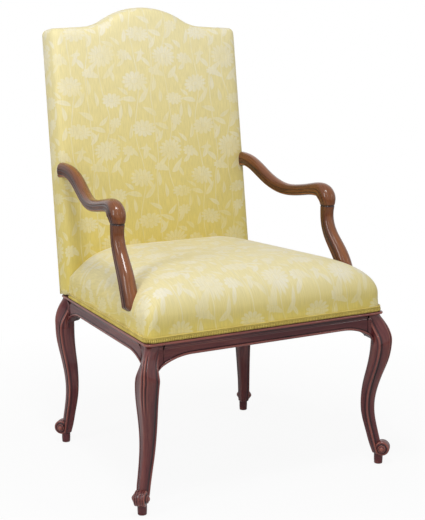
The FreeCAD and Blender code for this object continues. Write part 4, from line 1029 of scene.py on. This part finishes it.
# The seat rolls down into the crease against the back
plane = (co[:, 1] - BACK_ORIGIN[1] * 0.001) - np.tan(RAKE) * (co[:, 2] - BACK_ORIGIN[2] * 0.001)
top = np.clip((co[:, 2] - 0.43) / 0.04, 0.0, 1.0)
near = np.exp(-np.clip(-plane, 0.0, None) / CREASE_RUN)
co[:, 2] -= CREASE_DROP * near * top * (0.7 + 0.6 * np.abs(co[:, 0]) / 0.2)
seat.data.vertices.foreach_set("co", co.ravel())
subdivide(seat, 1)


def seat_cloth(p):
    """The cover lies flat over the dome and turns down over the front and the tapering sides."""
    drop = np.clip(0.43 - p[:, 2], 0.0, None)
    behind = p[:, 1] - FRONT_Y * 0.001
    front = np.clip((0.03 - behind) / 0.02, 0.0, 1.0)
    taper = (FRONT_WIDTH - REAR_WIDTH) / 2 / FRAME_DEPTH
    half = FRONT_WIDTH / 2 * 0.001 - taper * behind
    side = np.clip((np.abs(p[:, 0]) - half + 0.03) / 0.02, 0.0, 1.0)
    u = p[:, 0] + np.sign(p[:, 0]) * drop * side * (1 - front)
    v = p[:, 1] - drop * front
    return np.stack([u + REPEAT_U / 2, v + 0.4], axis=1)


# Painted light: the higher cover of the dome is painted paler
lay_cloth(seat, seat_cloth, lambda p: (p[:, 2] - 0.405) / 0.07)
seat.data.materials.append(damask)
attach(seat, "root")
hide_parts("seat_cover", "seat_stuffing")
print("seat", len(seat.data.polygons), "faces")

# %% Back cushion
BACK_SHELL, BACK_CAP = BACK_THICKNESS - 2.2, 4.0
verts, faces = skin(back_rings(BACK_SHELL, back_v(BACK_FOOT)))
back = make_piece("stuffed_back", verts, faces)


def back_depth(p):
    """Distance in metres behind the back's front plane."""
    return (p - BACK_ORIGIN * 0.001) @ BACK_IN


swell(back, BACK_CAP, lambda p: np.clip((0.030 - back_depth(p)) / 0.02, 0.0, 1.0))
relax(back, 2, lambda p: (back_depth(p) > 0.045).astype(float))
subdivide(back, 1)


def back_cloth(p):
    """The cover runs up the face and turns back over the sides and the top."""
    w = np.clip(back_depth(p), 0.0, None)
    v = (p - BACK_ORIGIN * 0.001) @ BACK_UP
    edge = np.clip((np.abs(p[:, 0]) - 0.240) / 0.018, 0.0, 1.0)
    over = np.clip((v - 0.60) / 0.03, 0.0, 1.0) * (1 - edge)
    return np.stack([p[:, 0] + np.sign(p[:, 0]) * w * edge + REPEAT_U / 2, v + w * over + 0.03], axis=1)


def back_top_light(p):
    """Painted light: the cover is painted paler towards the top of the back."""
    return (p[:, 2] - 0.46) / 0.56


lay_cloth(back, back_cloth, back_top_light)
back.data.materials.append(damask)
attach(back, "root")
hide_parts("inside_back_cover", "back_stuffing")
print("back", len(back.data.polygons), "faces")

# %% Outside back
# Each row has its depth past the back's thickness, its inset, and its share of the outline
PANEL = [(-2.0, 2.0, 1.0), (-0.5, 1.6, 1.0), (0.0, 3.0, 1.0), (0.2, 10.0, 0.96), (0.4, 10.0, 0.5)]
panel_foot = back_v(BACK_FOOT) + 2.5
verts, faces = skin([back_outline(BACK_THICKNESS + w, inset, share, panel_foot) for w, inset, share in PANEL])
outside = make_piece("outside_back_panel", verts, faces)


def panel_cloth(p):
    """The outside cover hangs flat, in line with the inside one."""
    return np.stack([p[:, 0] + REPEAT_U / 2, (p - BACK_ORIGIN * 0.001) @ BACK_UP + 0.03], axis=1)


lay_cloth(outside, panel_cloth, back_top_light)
outside.data.materials.append(damask)
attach(outside, "root")
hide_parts("outside_back_cover")
print("outside back panel", len(outside.data.polygons), "faces")

# %% [markdown]
# ## Gimp
# A woven braid hides the tacks along the lower edge of the cover. It has a firm cord along the top, a dark line
# of stitching, and fine upright loops below. Geometry Nodes set a loop at every few millimetres of its path.

# %% Gimp material
def gimp_material(name, dark, light):
    """Mercerised thread, mottled by its twist."""
    mat, t, shader = new_material(name)
    place = add(t, "ShaderNodeTexCoord", out="Object")
    noise = add(t, "ShaderNodeTexNoise", {"Vector": place, "Scale": 900.0, "Detail": 2.0}, out="Fac")
    patch = add(t, "ShaderNodeTexNoise", {"Vector": place, "Scale": 40.0, "Detail": 1.0}, out="Fac")
    patch = add(t, MATH, {0: patch, 1: 0.4}, operation="MULTIPLY")
    both = add(t, MATH, {0: noise, 1: 0.6, 2: patch}, operation="MULTIPLY_ADD")
    ramp = t.nodes.new("ShaderNodeValToRGB")
    ramp.color_ramp.elements[0].position, ramp.color_ramp.elements[1].position = 0.3, 0.75
    ramp.color_ramp.elements[0].color, ramp.color_ramp.elements[1].color = linear(dark), linear(light)
    t.links.new(both, ramp.inputs["Fac"])
    t.links.new(ramp.outputs["Color"], shader.inputs["Base Color"])
    bump = add(t, "ShaderNodeBump", {"Height": noise, "Strength": 0.3, "Distance": 0.0002})
    t.links.new(bump, shader.inputs["Normal"])
    shader.inputs["Roughness"].default_value = 0.62
    shader.inputs["Sheen Weight"].default_value = 0.2
    return mat


gimp_gold = gimp_material("woven_gold_gimp", "#C2A63C", "#EAD876")
gimp_ground = gimp_material("gimp_foundation_thread", "#7A6420", "#B89C3C")
print("gimp in 2 threads")

# %% Gimp path
GIMP_OUT, RIB_PITCH, RIB_RADIUS, RIB_HEIGHT, RIB_MIDDLE = 0.9, 4.2, 1.75, 8.2, 4.4


def gimp_path(z, inset):
    """Points along the seat's foot, from the right rear corner round the front to the left rear corner."""
    ring = seat_outline(z, inset, SEAT_REAR - 14.0, 14)
    left = [p for p in ring if p[0] >= -1e-6][:-1]
    left = [p for p in left if p[1] < SEAT_REAR - 14.5 or p[0] > 200]
    right = [(-x, y, height) for x, y, height in left[1:]]
    return list(reversed(right)) + left


path = gimp_path(SEAT_FOOT_Z, SEAT_INSET)
print("gimp path", len(path), "points")


# %% Loop tree
def curve_object(name, pts):
    """A curve through points in millimetres."""
    curve = bpy.data.curves.new(name, "CURVE")
    curve.dimensions = "3D"
    spline = curve.splines.new("POLY")
    spline.points.add(len(pts) - 1)
    for point, p in zip(spline.points, pts):
        point.co = (p[0] * 0.001, p[1] * 0.001, p[2] * 0.001, 1.0)
    obj = bpy.data.objects.new(name, curve)
    bpy.context.collection.objects.link(obj)
    return obj


def strand_tree(name):
    """Geometry Nodes: upright loops at an even pitch along a path."""
    g = bpy.data.node_groups.new(name, "GeometryNodeTree")
    g.interface.new_socket("Path", in_out="INPUT", socket_type="NodeSocketGeometry")
    for label, value in (("Rib pitch", RIB_PITCH), ("Rib radius", RIB_RADIUS), ("Rib height", RIB_HEIGHT)):
        socket = g.interface.new_socket(label, in_out="INPUT", socket_type="NodeSocketFloat")
        socket.default_value = value * 0.001
    g.interface.new_socket("Braid", in_out="OUTPUT", socket_type="NodeSocketGeometry")
    source, sink = g.nodes.new("NodeGroupInput"), g.nodes.new("NodeGroupOutput")
    spots = g.nodes.new("GeometryNodeCurveToPoints")
    spots.mode = "LENGTH"
    g.links.new(source.outputs["Path"], spots.inputs["Curve"])
    g.links.new(source.outputs["Rib pitch"], spots.inputs["Length"])
    rib = g.nodes.new("GeometryNodeMeshUVSphere")
    rib.inputs["Segments"].default_value = 8
    rib.inputs["Rings"].default_value = 6
    g.links.new(source.outputs["Rib radius"], rib.inputs["Radius"])
    ratio = {0: source.outputs["Rib height"], 1: source.outputs["Rib radius"]}
    ratio = add(g, MATH, ratio, operation="DIVIDE")
    ratio = add(g, MATH, {0: ratio, 1: 0.5}, operation="MULTIPLY")
    size = add(g, "ShaderNodeCombineXYZ", {0: 1.0, 1: 1.0, 2: ratio})
    stretched = g.nodes.new("GeometryNodeTransform")
    g.links.new(rib.outputs["Mesh"], stretched.inputs["Geometry"])
    g.links.new(size, stretched.inputs["Scale"])
    place = g.nodes.new("GeometryNodeInstanceOnPoints")
    g.links.new(spots.outputs["Points"], place.inputs["Points"])
    g.links.new(stretched.outputs["Geometry"], place.inputs["Instance"])
    real = g.nodes.new("GeometryNodeRealizeInstances")
    g.links.new(place.outputs["Instances"], real.inputs["Geometry"])
    paint = g.nodes.new("GeometryNodeSetMaterial")
    paint.inputs["Material"].default_value = gimp_gold
    g.links.new(real.outputs["Geometry"], paint.inputs["Geometry"])
    smooth_it = g.nodes.new("GeometryNodeSetShadeSmooth")
    g.links.new(paint.outputs["Geometry"], smooth_it.inputs["Geometry"])
    g.links.new(smooth_it.outputs["Geometry"], sink.inputs["Braid"])
    return g


loop_tree = strand_tree("gimp_ribs")
print("loop tree", len(loop_tree.nodes), "nodes")


# %% Gimp band
def band_shell(path, outline):
    """A band along a path; outline is (out from the path, z) in its own section."""
    p = np.array(path)
    t = np.gradient(p[:, :2], axis=0)
    t /= np.linalg.norm(t, axis=1)[:, None]
    n = np.stack([t[:, 1], -t[:, 0]], axis=1)
    return skin([[(q[0] + m[0] * o, q[1] + m[1] * o, z) for o, z in outline] for q, m in zip(p, n)])


# The band's section, out from the cover and up from the seat's foot: a flat foot, a ridge, a groove and a cord
BAND = [(-0.5, 0.4), (0.7, 0.4), (1.0, 3.0), (1.0, 7.6), (1.9, 8.2), (2.1, 9.0), (0.7, 9.6), (0.7, 10.0),
        (1.8, 10.5), (2.3, 11.4), (2.1, 12.5), (1.2, 13.2), (-0.5, 13.2)]
FLAT, GROOVE = {0, 1, 2, 3, 4}, {6, 7}
verts, faces = band_shell(path, [(out, SEAT_FOOT_Z + up) for out, up in BAND])
band = make_piece("gimp_band", verts, faces)
band.data.materials.append(gimp_gold)
band.data.materials.append(gimp_ground)
for face in band.data.polygons:
    places = {v % len(BAND) for v in face.vertices}
    face.material_index = 1 if places <= FLAT or places <= GROOVE else 0
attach(band, "root")
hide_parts("seat_gimp")
print("gimp band", len(band.data.polygons), "faces")

# %% Gimp loops
rib_path = curve_object("rib_path", gimp_path(SEAT_FOOT_Z + RIB_MIDDLE, SEAT_INSET - GIMP_OUT))
ribs_mod = rib_path.modifiers.new("ribs", "NODES")
ribs_mod.node_group = loop_tree
graph = bpy.context.evaluated_depsgraph_get()
rib_mesh = bpy.data.meshes.new_from_object(rib_path.evaluated_get(graph))
bpy.data.objects.remove(rib_path)
ribs = bpy.data.objects.new("gimp_ribs", rib_mesh)
bpy.context.collection.objects.link(ribs)
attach(ribs, "root")
print("gimp loops", len(rib_mesh.polygons), "faces")

# %% [markdown]
# ## What stays hidden
# The joinery, webbing, canvas, corner blocks and bottom cloth keep their modelled shapes and get plain honest
# finishes: sawn hardwood, jute, hessian, steel and black bottom cloth.

# %% Plain materials
def plain_material(name, dark, light, mm, rough, metallic=0.0, stretch=(1.0, 1.0, 1.0)):
    """Two tones of one stuff, mottled at a size in millimetres."""
    mat, t, shader = new_material(name)
    place = add(t, "ShaderNodeTexCoord", out="Object")
    scaled = add(t, "ShaderNodeMapping", {"Vector": place, "Scale": tuple(1000 / mm * s for s in stretch)})
    noise = add(t, "ShaderNodeTexNoise", {"Vector": scaled, "Scale": 1.0, "Detail": 3.0}, out="Fac")
    ramp = t.nodes.new("ShaderNodeValToRGB")
    ramp.color_ramp.elements[0].position, ramp.color_ramp.elements[1].position = 0.3, 0.7
    ramp.color_ramp.elements[0].color, ramp.color_ramp.elements[1].color = linear(dark), linear(light)
    t.links.new(noise, ramp.inputs["Fac"])
    t.links.new(ramp.outputs["Color"], shader.inputs["Base Color"])
    bump = add(t, "ShaderNodeBump", {"Height": noise, "Strength": 0.3, "Distance": 0.0003})
    t.links.new(bump, shader.inputs["Normal"])
    shader.inputs["Roughness"].default_value = rough
    shader.inputs["Metallic"].default_value = metallic
    return mat


sawn = plain_material("sawn_beech", "#A98255", "#C9A578", 3.0, 0.7, stretch=(0.06, 1.0, 1.0))
jute = plain_material("jute_webbing", "#8A6C40", "#B39664", 1.6, 0.9)
hessian = plain_material("woven_hessian", "#A08A5E", "#C3AE82", 1.2, 0.95)
steel = plain_material("zinc_plated_steel", "#8C8C88", "#B2B2AE", 2.0, 0.35, 1.0)
bottom_cloth = plain_material("black_bottom_cloth", "#141414", "#232323", 1.0, 0.95)
finishes = {"corner_blocks": sawn, "crest_rail": sawn, "back_lower_rail": sawn, "arm_dowels": sawn,
            "corner_block_screws": steel, "back_webbing": jute, "seat_webbing": jute,
            "back_canvas": hessian, "seat_canvas": hessian, "dust_cover": bottom_cloth}
for node, mat in finishes.items():
    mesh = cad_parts[node].data
    mesh.materials.clear()
    mesh.materials.append(mat)
print("plain finishes", len(finishes))

# %% [markdown]
# ## Light and floor
# A pale floor and a white world, as in a studio: a soft key light from above, a broad one from the left, and two
# narrow strips that draw bright lines on the polish. The camera, and the polish's reflections, see plain white
# behind the chair, and the floor fades into it.

# %% Floor
FLOOR_HALF, FLOOR_Z, WORLD_FILL = 30.0, -0.0005, 0.38
FADE_FROM, FADE_TO, FLOOR_GLOW = 0.5, 1.3, 0.92
floor_mesh = bpy.data.meshes.new("floor")
corners = [(x * FLOOR_HALF, y * FLOOR_HALF, FLOOR_Z) for x, y in ((-1, -1), (1, -1), (1, 1), (-1, 1))]
floor_mesh.from_pydata(corners, [], [(0, 1, 2, 3)])
floor = bpy.data.objects.new("floor", floor_mesh)
bpy.context.collection.objects.link(floor)
floor_mat, t, shader = new_material("white_floor")
shader.inputs["Base Color"].default_value = (0.86, 0.86, 0.86, 1.0)
shader.inputs["Roughness"].default_value = 0.9
out_node = t.nodes["Material Output"]
ray = t.nodes.new("ShaderNodeLightPath")
glow = add(t, "ShaderNodeEmission", {"Color": (1, 1, 1, 1), "Strength": 1.0})
where = add(t, "ShaderNodeTexCoord", out="Object")
away = add(t, "ShaderNodeVectorMath", {0: where}, out="Value", operation="LENGTH")
blend = {"Value": away, "From Min": FADE_FROM, "From Max": FADE_TO, "To Min": FLOOR_GLOW}
blend = add(t, "ShaderNodeMapRange", blend)
share = add(t, MATH, {0: ray.outputs["Is Camera Ray"], 1: blend}, operation="MULTIPLY")
mixed = add(t, "ShaderNodeMixShader", {0: share, 1: shader.outputs[0], 2: glow})
t.links.new(mixed, out_node.inputs["Surface"])
floor.data.materials.append(floor_mat)
print("floor", 2 * FLOOR_HALF, "m wide")

# %% World
world = bpy.data.worlds.new("studio")
bpy.context.scene.world = world
world.use_nodes = True
wt = world.node_tree
ray = wt.nodes.new("ShaderNodeLightPath")
seen = add(wt, MATH, {0: ray.outputs["Is Camera Ray"], 1: ray.outputs["Is Glossy Ray"]}, operation="MAXIMUM")
seen = add(wt, MATH, {0: seen, 1: ray.outputs["Is Transmission Ray"]}, operation="MAXIMUM")
strength = add(wt, "ShaderNodeMapRange", {"Value": seen, "To Min": WORLD_FILL, "To Max": 1.0})
wt.links.new(strength, wt.nodes["Background"].inputs["Strength"])
wt.nodes["Background"].inputs["Color"].default_value = (1, 1, 1, 1)
print("world fill", WORLD_FILL)


# %% Lamps
def softbox(name, place, target, size, watts):
    """A rectangular lamp at a place, turned to a target."""
    data = bpy.data.lights.new(name, "AREA")
    data.shape = "RECTANGLE"
    data.size, data.size_y = size
    data.energy = watts
    lamp = bpy.data.objects.new(name, data)
    lamp.location = place
    lamp.rotation_euler = (Vector(target) - Vector(place)).to_track_quat("-Z", "Y").to_euler()
    bpy.context.collection.objects.link(lamp)


softbox("key", (-0.5, -0.8, 2.3), (0, 0, 0.6), (0.45, 0.45), 16.5)
softbox("left", (-2.3, -0.5, 1.5), (0, 0, 0.4), (0.5, 1.2), 15.0)
softbox("front_strip", (-1.0, -2.4, 2.1), (0, 0, 0.4), (0.07, 0.9), 3.6)
softbox("right_strip", (1.9, -2.2, 1.7), (0, 0, 0.4), (0.07, 0.9), 3.0)
bpy.context.scene.view_settings.view_transform = "Standard"
print("lights ready")
